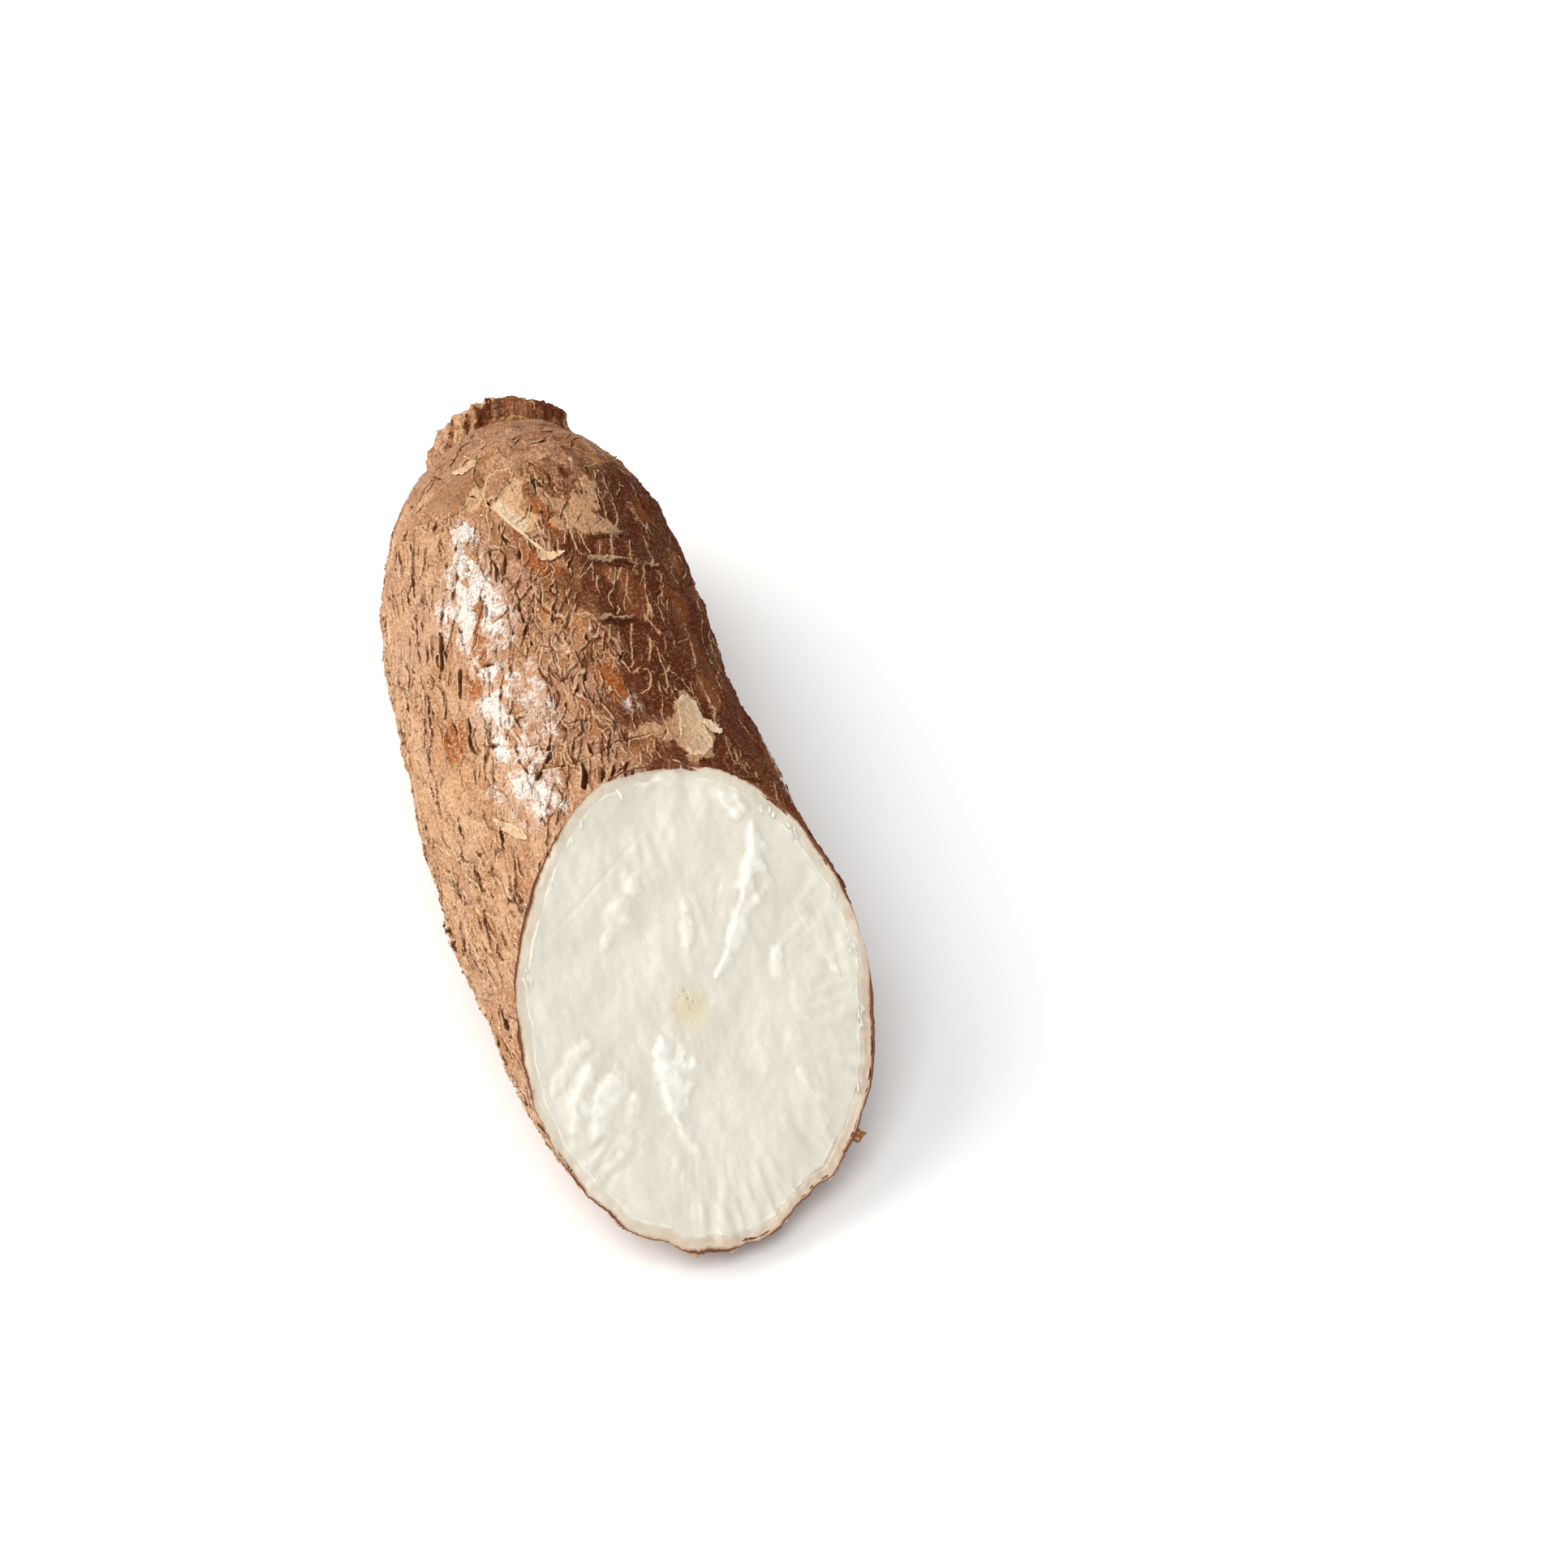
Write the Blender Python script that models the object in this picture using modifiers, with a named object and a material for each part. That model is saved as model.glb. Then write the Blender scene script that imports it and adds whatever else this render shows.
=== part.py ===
"""Half of a cassava root, sliced slantwise and lying on its side.

The root is one solid that grew as one piece. Its long axis runs along Y: the stem neck is
at +Y and the slanted slice faces -Y and up. A soft cage of rings gives the swollen body, one
slab takes the slice off it, and another leaves the narrow flat that it rests on.
The origin is the middle of the bottom of its box.
"""

import math

import bmesh
import bpy
from mathutils import Matrix, Vector, noise

MM = 0.001

# The body, ring by ring from the broken neck towards the slice, in millimetres:
# (distance from the neck's end, radius, sideways shift, height of the ring's middle).
RINGS_MM = (
(-1.8, 13.9, 11.9, 26.8),
    (0.5, 15.0, 11.7, 26.7),
    (4.2, 14.0, 11.4, 26.6),
    (7.6, 16.2, 11.1, 26.6),
    (13.0, 19.7, 10.3, 26.5),
    (21.5, 23.5, 8.9, 26.3),
    (34.0, 26.6, 6.3, 26.3),
    (48.0, 27.6, 4.0, 27.0),
    (66.0, 27.9, 1.9, 27.3),
    (88.0, 28.7, -0.1, 28.1),
    (112.0, 29.6, -0.5, 28.9),
    (132.0, 29.8, 0.0, 29.1),
    (146.0, 28.9, 0.0, 29.1),
    (158.0, 26.6, 0.0, 29.1),
    (170.0, 22.6, 0.0, 29.1),
    (184.0, 16.8, 0.0, 29.1),
)
SIDES = 16  # cage points round each ring
SMOOTHING = 2  # subdivision levels of the cage

# The slice: its plane crosses the axis here, leaning back and turned a little sideways.
SLICE_AT_MM = 139.5
SLICE_LEAN = math.radians(44.0)
SLICE_TURN = math.radians(9.0)

REST_FLAT_DEPTH_MM = 0.7  # how much of the belly is pressed flat where the root lies
NECK_HOLLOW_MM = 1.6  # how far the broken end of the neck dishes in
CAP_RIM_MM = 4.0  # width of the rim round each end's inner face

# Swellings of the body: height as a share of the radius, and their length along the root.
LUMP_HEIGHT = 0.03
LUMP_LENGTH_MM = 26.0
LUMP_SEED = Vector((3.1, 7.4, 1.9))

SLAB_MM = 400.0  # the side of both slabs, larger than the root
SHARP_EDGE = math.radians(35.0)  # the slice's rim and the flat's border stay crisp


def clear_scene():
    for obj in list(bpy.data.objects):
        bpy.data.objects.remove(obj, do_unlink=True)


def new_collection(name):
    collection = bpy.data.collections.new(name)
    bpy.context.scene.collection.children.link(collection)
    return collection


def new_material(name, colour, roughness):
    material = bpy.data.materials.new(name)
    material.use_nodes = True
    shader = material.node_tree.nodes["Principled BSDF"]
    shader.inputs["Base Color"].default_value = (*colour, 1.0)
    shader.inputs["Roughness"].default_value = roughness
    shader.inputs["Metallic"].default_value = 0.0
    return material


def ring_middle(index):
    along, _, side, height = RINGS_MM[index]
    return Vector((side, SLICE_AT_MM - along, height)) * MM


def ring_frame(index):
    """Placement of one ring of the cage: square to the body's middle line at that ring."""
    before = ring_middle(max(index - 1, 0))
    after = ring_middle(min(index + 1, len(RINGS_MM) - 1))
    turn = Vector((0.0, -1.0, 0.0)).rotation_difference((after - before).normalized())
    return Matrix.Translation(ring_middle(index)) @ turn.to_matrix().to_4x4()


def ring_points(index):
    """The cage points of one ring, each pushed in or out by the root's swellings."""
    along, radius = RINGS_MM[index][:2]
    frame = ring_frame(index)
    points = []
    for k in range(SIDES):
        angle = 2.0 * math.pi * k / SIDES
        outward = Vector((math.cos(angle), 0.0, math.sin(angle)))
        place = outward * radius + Vector((0.0, along, 0.0))
        swell = 1.0 + LUMP_HEIGHT * noise.noise(place / LUMP_LENGTH_MM + LUMP_SEED)
        points.append(frame @ (outward * radius * swell * MM))
    return points


def new_ring(bm, index):
    """One ring of the cage, as a loop of edges."""
    circle = bmesh.ops.create_circle(bm, cap_ends=False, segments=SIDES, radius=MM)["verts"]
    for vert, point in zip(circle, ring_points(index)):
        vert.co = point
    return [bm.edges.get((circle[k - 1], circle[k])) for k in range(SIDES)]


def close_end(bm, ring, hollow):
    """A face across one end, with a rim round it, sunk towards the slice by the hollow."""
    face = bmesh.ops.contextual_create(bm, geom=ring)["faces"][0]
    bmesh.ops.inset_region(bm, faces=[face], thickness=CAP_RIM_MM * MM)
    bmesh.ops.translate(bm, verts=face.verts, vec=(0.0, -hollow * MM, 0.0))


def root_cage(mesh):
    """A tube of rings, closed at both ends, the neck's end dished where the stem broke off."""
    bm = bmesh.new()
    rings = [new_ring(bm, index) for index in range(len(RINGS_MM))]
    for ring, following in zip(rings, rings[1:]):
        bmesh.ops.bridge_loops(bm, edges=ring + following)
    close_end(bm, rings[0], NECK_HOLLOW_MM)
    close_end(bm, rings[-1], 0.0)
    bmesh.ops.recalc_face_normals(bm, faces=bm.faces)
    bm.to_mesh(mesh)
    bm.free()


def new_root(collection, bark):
    mesh = bpy.data.meshes.new("cassava_root_cage")
    root_cage(mesh)
    mesh.materials.append(bark)
    root = bpy.data.objects.new("cassava_root_cage", mesh)
    collection.objects.link(root)
    smooth = root.modifiers.new("swollen_body", "SUBSURF")
    smooth.levels = SMOOTHING
    smooth.render_levels = SMOOTHING
    return root


def evaluated_mesh(obj):
    """A copy of the object's mesh with all its modifiers in it."""
    bpy.context.view_layer.update()
    graph = bpy.context.evaluated_depsgraph_get()
    return bpy.data.meshes.new_from_object(obj.evaluated_get(graph))


def new_slab(name, collection, middle, turn, material):
    """A large square block that a Boolean takes away; it isn't part of the root."""
    mesh = bpy.data.meshes.new(name)
    bm = bmesh.new()
    bmesh.ops.create_cube(bm, size=SLAB_MM * MM)
    bm.to_mesh(mesh)
    bm.free()
    mesh.materials.append(material)
    slab = bpy.data.objects.new(name, mesh)
    slab.location = middle
    slab.rotation_euler = turn
    slab.hide_render = True
    slab.display_type = "WIRE"
    collection.objects.link(slab)
    return slab


def take_away(root, slab):
    cut = root.modifiers.new(slab.name, "BOOLEAN")
    cut.operation = "DIFFERENCE"
    cut.solver = "EXACT"
    cut.object = slab
    cut.material_mode = "TRANSFER"


def slice_slab(collection, flesh):
    """The block beyond the slice. Its near face is the slice's plane."""
    outward = Vector(
        (
            math.sin(SLICE_TURN) * math.cos(SLICE_LEAN),
            -math.cos(SLICE_TURN) * math.cos(SLICE_LEAN),
            math.sin(SLICE_LEAN),
        )
    )
    axis_height = max(ring[3] for ring in RINGS_MM) * MM
    middle = Vector((0.0, 0.0, axis_height)) + outward * (SLAB_MM * MM / 2.0)
    turn = outward.to_track_quat("Z", "Y").to_euler()
    return new_slab("slice_slab", collection, middle, turn, flesh)


def floor_slab(collection, root, bark):
    """The block under the root. Its top face takes off the lowest sliver of the belly."""
    body = evaluated_mesh(root)
    top = min(v.co.z for v in body.vertices) + REST_FLAT_DEPTH_MM * MM
    bpy.data.meshes.remove(body)
    middle = Vector((0.0, 0.0, top - SLAB_MM * MM / 2.0))
    return new_slab("floor_slab", collection, middle, (0.0, 0.0, 0.0), bark)


def settle(cage, collection):
    """The finished solid as a plain mesh, with the middle of its underside at the origin."""
    mesh = evaluated_mesh(cage)
    mesh.name = "cassava_root"
    low = [min(v.co[axis] for v in mesh.vertices) for axis in range(3)]
    high = [max(v.co[axis] for v in mesh.vertices) for axis in range(3)]
    base = Vector(((low[0] + high[0]) / 2.0, (low[1] + high[1]) / 2.0, low[2]))
    mesh.transform(Matrix.Translation(-base))
    mesh.shade_smooth()
    mesh.set_sharp_from_angle(angle=SHARP_EDGE)
    root = bpy.data.objects.new("cassava_root", mesh)
    collection.objects.link(root)
    return root


def main():
    clear_scene()
    parts = new_collection("cassava_root_half")
    helpers = new_collection("slabs_and_cage")
    bark = new_material("bark", (0.33, 0.17, 0.09), 0.75)
    flesh = new_material("flesh", (0.80, 0.77, 0.68), 0.45)
    cage = new_root(helpers, bark)
    take_away(cage, floor_slab(helpers, cage, bark))
    take_away(cage, slice_slab(helpers, flesh))
    settle(cage, parts)
    cage.hide_render = True
    cage.display_type = "WIRE"


main()
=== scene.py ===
"""The looks of a halved cassava root: flaky bark, moist white flesh and a broken stem neck.

Lengths are in millimetres until a mesh is made. A place on the bark is given as degrees
round the root, from +X towards +Z, and millimetres along it from the neck's end. A place on
the slice is given as millimetres across and up the slice from its middle.
"""

import math

import bmesh
import bpy
import numpy as np
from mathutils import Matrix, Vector
from mathutils.bvhtree import BVHTree


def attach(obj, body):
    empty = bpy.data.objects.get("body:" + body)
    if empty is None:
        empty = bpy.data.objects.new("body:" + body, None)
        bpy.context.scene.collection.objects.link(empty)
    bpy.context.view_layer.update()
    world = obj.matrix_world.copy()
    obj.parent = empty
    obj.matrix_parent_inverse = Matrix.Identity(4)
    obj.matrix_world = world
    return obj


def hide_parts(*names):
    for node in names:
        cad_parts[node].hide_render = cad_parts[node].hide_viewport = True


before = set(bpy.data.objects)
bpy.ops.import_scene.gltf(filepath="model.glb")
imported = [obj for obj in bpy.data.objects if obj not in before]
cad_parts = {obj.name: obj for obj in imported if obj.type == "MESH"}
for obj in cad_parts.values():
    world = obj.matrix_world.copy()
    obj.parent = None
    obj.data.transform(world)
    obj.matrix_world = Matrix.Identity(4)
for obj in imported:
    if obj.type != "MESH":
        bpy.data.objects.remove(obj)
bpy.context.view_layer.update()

MM = 0.001

# ---------------------------------------------------------------- flat maps and their noise

CELL = 0.16  # spacing of a map's points
GIRTH = 176.0  # width of the bark's map: once round the root at its middle
LENGTH = 172.0  # height of the bark's map: from the neck's end past the slice's tip
DEGREE = GIRTH / 360.0
BARK_SHAPE = (round(LENGTH / CELL), round(GIRTH / CELL))
ROUND = np.arange(BARK_SHAPE[1]) * CELL * np.ones((BARK_SHAPE[0], 1))
ALONG = np.arange(BARK_SHAPE[0])[:, None] * CELL * np.ones((1, BARK_SHAPE[1]))
FAR = 2.0  # a distance that counts as nowhere near


def soft_noise(seed, across, along, shape=BARK_SHAPE):
    """Even noise of unit spread, in lumps about this wide and this long."""
    speckle = np.random.default_rng(seed).standard_normal(shape)
    wave_u = np.fft.rfftfreq(shape[1], CELL)
    wave_v = np.fft.fftfreq(shape[0], CELL)[:, None]
    keep = np.exp(-((wave_u * across) ** 2 + (wave_v * along) ** 2) * 1.3)
    lumps = np.fft.irfft2(np.fft.rfft2(speckle) * keep, shape)
    return lumps / lumps.std()


def ease(value, low, high):
    """0 below low, 1 above high and a smooth rise between; high may be the smaller."""
    t = np.clip((value - low) / (high - low), 0.0, 1.0)
    return t * t * (3.0 - 2.0 * t)


def bump(value, middle, spread):
    """A bell: 1 at the middle, falling away on both sides."""
    return np.exp(-(((value - middle) / spread) ** 2))


def between(field, u, v, wrap):
    """A map's values between its points, at places in grid steps. It may be a ring in u."""
    v = np.clip(v, 0.0, field.shape[0] - 1.001)
    u = u % field.shape[1] if wrap else np.clip(u, 0.0, field.shape[1] - 1.001)
    column = u.astype(int) % field.shape[1]
    row = v.astype(int)
    share_u = u - np.floor(u)
    share_v = v - row
    onward = (column + 1) % field.shape[1]
    low = field[row, column] * (1 - share_u) + field[row, onward] * share_u
    high = field[row + 1, column] * (1 - share_u) + field[row + 1, onward] * share_u
    return low * (1 - share_v) + high * share_v


def look_up(field, u, v, wrap):
    """A map's values at places in millimetres. The bark's map is a ring in u."""
    return between(field, u / CELL, v / CELL, wrap)


def at(field, place):
    """The bark map's value at one place, which may lie past the map's seam."""
    row = min(max(int(place[1] / CELL), 0), BARK_SHAPE[0] - 1)
    return field[row, int(place[0] / CELL) % BARK_SHAPE[1]]


def around(table):
    """A value over the bark's map from a table of bearings."""
    return np.interp(ROUND / DEGREE, *zip(*table))


# Shared by all outlines, so that their edges fray alike.
RAGGED = 0.5 * soft_noise(11, 5.0, 6.0) + 0.35 * soft_noise(12, 1.8, 2.4) + 0.2 * soft_noise(13, 0.7, 0.7)

# Which way the bark's slits lean off the root's length, in degrees at each bearing.
LEAN = ((0, 8), (60, 12), (100, 10), (150, 11), (200, 8), (270, 4), (360, 8))
GRAIN_LINES = np.radians(around(LEAN) * ease(ALONG, 20.0, 50.0) + 5.0 * soft_noise(14, 20.0, 30.0))


def round_from(degrees):
    """Signed distance round the root from a bearing."""
    return (ROUND - degrees * DEGREE + GIRTH / 2) % GIRTH - GIRTH / 2


def facing(degrees, spread):
    """A bell over the bark's map round a bearing, with its spread in degrees."""
    return bump(round_from(degrees) / DEGREE, 0.0, spread)


def oval(degrees, along, half_width, half_length, ragged):
    """How far inside a ragged oval each point lies; its long side runs along the root."""
    reach = np.hypot(round_from(degrees) / half_width, (ALONG - along) / half_length)
    inside = (1.0 - reach) * min(half_width, half_length)
    return np.clip(inside + ragged * RAGGED, -FAR, FAR)


def rounded(corners):
    """A closed outline with its corners cut away twice."""
    for _ in range(2):
        onward = np.roll(corners, -1, 0)
        corners = np.stack([0.75 * corners + 0.25 * onward, 0.25 * corners + 0.75 * onward], 1)
        corners = corners.reshape(-1, 2)
    return corners


def window_round(points, margin):
    """The columns and rows of the bark's map within a margin of some points."""
    low = np.floor((points.min(0) - margin) / CELL).astype(int)
    high = np.ceil((points.max(0) + margin) / CELL).astype(int)
    return np.arange(low[0], high[0]), np.arange(max(low[1], 0), min(high[1], BARK_SHAPE[0]))


def from_segment(du, dv, step_u, step_v):
    """The nearest point of a segment, as a share of its length, and how far away that is."""
    share = np.clip((du * step_u + dv * step_v) / (step_u**2 + step_v**2), 0.0, 1.0)
    return share, np.hypot(du - share * step_u, dv - share * step_v)


def region(points, ragged=0.45):
    """How far inside an outline each point lies, below zero outside it."""
    corners = rounded(np.array(points, float) * (DEGREE, 1.0))
    columns, rows = window_round(corners, FAR + 1.0)
    u = columns[None, :] * CELL
    v = rows[:, None] * CELL
    away = np.full((len(rows), len(columns)), np.inf)
    within = np.zeros(away.shape, bool)
    for (u0, v0), (u1, v1) in zip(corners, np.roll(corners, -1, 0)):
        away = np.minimum(away, from_segment(u - u0, v - v0, u1 - u0, v1 - v0)[1])
        if v1 != v0:
            within ^= ((v0 > v) != (v1 > v)) & (u < (u1 - u0) * (v - v0) / (v1 - v0) + u0)
    field = np.full(BARK_SHAPE, -FAR)
    window = np.ix_(rows, columns % BARK_SHAPE[1])
    field[window] = np.clip(np.where(within, away, -away) + ragged * RAGGED[window], -FAR, FAR)
    return field


def merged(outlines, ragged=0.45):
    """How far inside any of these outlines each point lies."""
    return np.maximum.reduce([region(outline, ragged) for outline in outlines])


# ---------------------------------------------------------------- strokes on the bark

PACE = 0.6  # spacing of the points along a stroke
STRETCH = 6  # steps drawn together
REACH = 1.9  # how far from a stroke its distance is worked out
HOMING = 0.15  # how strongly a wandering stroke turns back to its heading at each step


class Strokes:
    """Lines drawn on the bark's map.

    gap is the distance to the nearest line's edge, below zero inside it. curl is above zero
    on the side of that line where the bark has lifted.
    """

    def __init__(self):
        self.gap = np.full(BARK_SHAPE, FAR)
        self.curl = np.zeros(BARK_SHAPE)

    def draw(self, path, half_width, curl=0.0):
        """Adds a line, a few steps at a time, so that only the map near it is worked on."""
        for k in range(0, len(path) - 1, STRETCH):
            part = slice(k, k + STRETCH + 1)
            self.draw_stretch(path[part], half_width[part], curl)

    def draw_stretch(self, path, half_width, curl):
        """Adds a few steps of a line, each point of the map taking the nearest of them."""
        columns, rows = window_round(path, REACH)
        du = columns[None, :, None] * CELL - path[:-1, 0]
        dv = rows[:, None, None] * CELL - path[:-1, 1]
        step_u, step_v = np.diff(path, axis=0).T
        share, away = from_segment(du, dv, step_u, step_v)
        edge = away - half_width[:-1] - share * np.diff(half_width)
        side = np.sign(du * step_v - dv * step_u) * curl
        nearest = edge.argmin(2)[..., None]
        edge = np.take_along_axis(edge, nearest, 2)[..., 0]
        side = np.take_along_axis(side, nearest, 2)[..., 0]
        window = np.ix_(rows, columns % BARK_SHAPE[1])
        nearer = edge < self.gap[window]
        self.gap[window] = np.where(nearer, edge, self.gap[window])
        self.curl[window] = np.where(nearer, side, self.curl[window])


def wander(rng, start, length, heading, sway):
    """A path that follows the bark's grain and strays a little; heading is off the grain."""
    count = max(round(length / PACE), 4)
    place = np.array(start, float)
    path = [place]
    stray = math.radians(heading)
    for turn in rng.standard_normal(count) * sway:
        stray += turn - HOMING * (stray - math.radians(heading))
        lean = stray + at(GRAIN_LINES, place)
        place = place + (PACE * math.sin(lean), PACE * math.cos(lean))
        path.append(place)
    return np.array(path)


def fork_of(rng, path, lengths, angles):
    """A short branch that leaves a path somewhere along it, to either side."""
    start = path[rng.integers(len(path))]
    length = rng.uniform(*lengths)
    return wander(rng, start, length, rng.choice((-1, 1)) * rng.uniform(*angles), 0.15)


def tapered(count):
    """A share for each point of a stroke: full in its middle, closing to a point at its ends."""
    t = (np.arange(count) + 0.5) / count
    return (4.0 * t * (1.0 - t)) ** 0.5


def gaping(rng, count, hairline, widest):
    """Half widths along a split: a hairline that gapes here and there, closed at both ends."""
    waves = np.convolve(rng.standard_normal(count + 10), np.hanning(5), "same")[5:-5]
    return tapered(count) * (hairline + widest * np.clip(waves / 1.2 - 0.4, 0.0, 1.0))


def strew(rng, across, along, chance):
    """Places on a shaken lattice, thinned by a map of chances."""
    for v in np.arange(0.0, LENGTH, along):
        for u in np.arange(0.0, GIRTH, across):
            place = (u + rng.uniform(-0.5, 0.5) * across, v + rng.uniform(-0.5, 0.5) * along)
            if rng.random() < at(chance, place):
                yield place


def drawn(points, widths):
    """A stroke given as (degrees, millimetres along) points and made into a smooth path."""
    points = np.array(points, float) * (DEGREE, 1.0)
    count = 6 * (len(points) - 1) + 1
    t = np.linspace(0, len(points) - 1, count)
    path = np.stack([np.interp(t, range(len(points)), points[:, k]) for k in (0, 1)], 1)
    for _ in range(3):
        path[1:-1] = (path[:-2] + 2 * path[1:-1] + path[2:]) / 4
    share = np.linspace(0, 1, count)
    return path, np.interp(share, np.linspace(0, 1, len(widths)), widths)


# ---------------------------------------------------------------- where things lie on the bark

NECK_COLLAR = 7.4  # where the broken stub ends and the shoulder begins
NECK_SHIFT = 0.9  # how far the stub stands to the right of the shoulder's middle
STEM_RADIUS = (  # the stub's radius at each bearing: flattened on top, with a lump on the left
    (0, 12.4), (17, 12.2), (30, 12.7), (45, 12.6), (60, 12.0), (75, 11.7), (90, 12.1), (105, 12.9),
    (125, 13.5), (140, 13.9), (152, 14.5), (165, 14.9), (175, 14.7), (190, 14.0), (230, 13.4),
    (300, 13.2), (360, 12.4),
)  # fmt: skip
STEM_BROWNNESS = (  # the stub is dark on top and paler on its left; its darker crevice round 103 degrees is painted shade
    (0, 0.62), (35, 0.74), (55, 0.76), (70, 0.68), (97, 0.72), (103, 0.92), (109, 0.84), (117, 0.50),
    (150, 0.34), (180, 0.36), (240, 0.60), (360, 0.66),
)  # fmt: skip

STEM_FOLDS = (  # upright folds of the stub: bearing, half width in degrees, height
    (98, 3.0, 0.35), (115, 2.5, 0.45), (121, 2.0, -0.50), (128, 3.0, 0.45), (135, 2.0, -0.45),
    (143, 3.5, 0.30), (151, 2.0, -0.45), (66, 1.2, -0.30), (48, 3.0, -0.30), (30, 3.0, 0.30),
    (200, 4.0, -0.4),
)  # fmt: skip

# How brown the bark is at each bearing: 0 is pale tan, 1 is dark chocolate. The fall from pale round 140
# degrees to dark round 30 degrees is partly the bark's own colour and partly painted light and shade.
BROWNNESS = (
    (0, 0.82), (30, 0.92), (52, 0.90), (66, 0.78), (78, 0.62), (90, 0.46), (105, 0.34), (120, 0.22),
    (142, 0.12), (180, 0.15), (210, 0.34), (245, 0.48), (290, 0.52), (325, 0.70), (360, 0.82),
)  # fmt: skip

BARE_CREAM = (  # outlines of bare, cream-coloured skin
    (
        (106, 41), (101, 41), (98, 38.5), (93, 37), (90, 41), (94, 46), (88.5, 48.5), (91, 52.5),
        (96, 52.3), (101, 46.5),
    ),
    ((114, 40), (112.5, 37.5), (108.5, 35.7), (105, 35.8), (106, 39), (109.5, 40.8)),
    ((213, 62), (204, 60), (199, 67), (205, 72), (212, 69)),
    ((17, 46), (9, 44), (6, 50), (12, 53)),
)
TAN_SKIN = (  # outlines of smooth tan skin that lies flat
    (
        (76.5, 48.3), (75, 43), (71, 41.5), (67.5, 42.5), (68.5, 38.5), (63, 37.5), (61.5, 43),
        (64, 47.5), (65.2, 50.8), (60.5, 54.6), (69, 55.3), (79, 54), (87, 52.2), (80.5, 48.8),
    ),
    ((86.5, 40.5), (86, 46), (81.3, 48.6), (75.5, 48.4), (76, 43.5), (81, 43.5)),
    ((83, 30), (76, 30.5), (77.3, 33), (80.5, 33), (82, 36.5), (84.5, 35.5)),
    (
        (85.5, 106), (80, 104), (72, 103), (66, 98), (60, 94), (55, 96), (58, 104), (60, 112),
        (72.5, 113), (72, 107),
    ),
    ((154.6, 99), (151, 100.8), (145.7, 101.6), (146, 104.6), (152.5, 103)),
    ((170.5, 80), (166.5, 85.6), (162, 92.7), (160, 98.6), (163.3, 100.3), (169, 93.8), (174, 85.5)),
    ((180, 50), (173, 53), (170, 62), (176, 66), (181, 58)),
    ((318, 97), (305, 98), (303, 108), (312, 113), (321, 106)),
)  # fmt: skip
ORANGE_SKIN = (  # outlines of fresh, rust-orange skin
    (
        (98, 53.5), (99, 59), (96.5, 61.5), (93.5, 63.5), (91.5, 65), (88, 63), (86.3, 61.3), (91, 59),
        (94, 56.5),
    ),
    ((90, 43.5), (86, 45.5), (84, 48.5), (81, 49.5), (84.5, 53), (88.5, 53.5), (89.8, 48.5)),
    ((86, 87.5), (81, 87), (79.5, 92), (82, 98), (85.5, 98), (87, 90.5)),
    ((142.5, 81), (133.5, 85), (135.5, 91.5), (143, 91.5), (148, 85)),
    ((117.6, 61.2), (116.4, 62), (119, 70.9), (120.8, 77.6), (123.3, 77.8), (122, 70.2)),
    ((131, 74.9), (124.4, 78.9), (123.8, 82.8), (126.5, 83.5), (132.8, 80)),
    ((232, 104), (224, 107), (226, 117), (233, 114)),
    ((350, 68), (340, 70), (339, 80), (347, 81)),
)
WAX_BLOOM_AND_HIGHLIGHT = (  # outlines of white patches along the top of the root: partly waxy bloom, partly painted highlight where the light glints
    ((115, 40.5), (112, 44), (113, 49), (119.5, 49.5), (121, 46), (119, 43)),
    (
        (120, 46.9), (114.8, 47.6), (114.2, 53.1), (111, 61.8), (109.6, 69.2), (109.1, 71.9),
        (115, 72.3), (119.5, 70), (121.6, 68.6), (124, 73.9), (127.4, 71.5), (127.4, 66.6),
        (132.6, 62.8), (131, 58.7), (126.6, 59.4), (124.2, 53.6),
    ),
    ((126, 73), (121, 77.5), (115.4, 80.4), (117.5, 82.8), (121.6, 82.2), (125.5, 79.3)),
    (
        (121, 84), (113.2, 84.5), (112.5, 89.5), (117, 94.5), (122, 94.5), (124.5, 90.5), (129, 87),
        (129, 83),
    ),
    ((126.5, 91), (122.5, 94), (123, 100), (130.5, 97)),
    ((128.5, 103), (120, 103), (115, 108), (114, 115), (123, 115), (127, 110)),
    ((255, 54), (247, 57), (249, 70), (257, 68)),
    ((25, 96), (18, 99), (17, 110), (24, 112)),
)  # fmt: skip
WAX_VEIL_AND_HIGHLIGHT = (  # outlines of thinner bloom with fainter painted highlight
    (
        (111.5, 82.5), (106.8, 80.3), (103, 82), (105, 87.8), (102, 89), (102, 98), (106.4, 96.5),
        (110, 91),
    ),
    ((114.5, 93), (107, 98), (106.5, 103.5), (120.3, 102), (123, 98.6), (118.1, 95.5)),
    ((121, 43), (112, 46), (107, 66), (104.5, 76), (118, 78), (129, 76), (136, 66), (136, 58), (127, 52)),
    ((128, 74), (118, 76), (108, 84), (103, 96), (108, 106), (122, 104), (131, 96), (131, 84)),
    ((127.5, 75), (116, 80), (116.5, 84), (124, 81)),
    ((136, 100), (118, 100), (111, 108), (111, 116), (126, 117), (134, 110)),
    ((85, 99.5), (80.5, 95), (77.5, 97.4), (76.5, 100), (81, 102.5)),
)
CREAM_SHEEN = ((106, 41.5), (99.5, 40.5), (94.5, 46), (91, 51), (96.5, 52.5), (101.5, 46.5))
TORN_LIP = ((140, -3), (92, -3), (95, -0.9), (106, -0.2), (112, 1.0), (120, 0.2), (130, 0.4), (138, -0.5))
SHOULDER_OVAL = ((122, 28), (114, 26), (106, 30), (107, 36), (113, 39), (122, 38), (128.5, 33))
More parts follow.
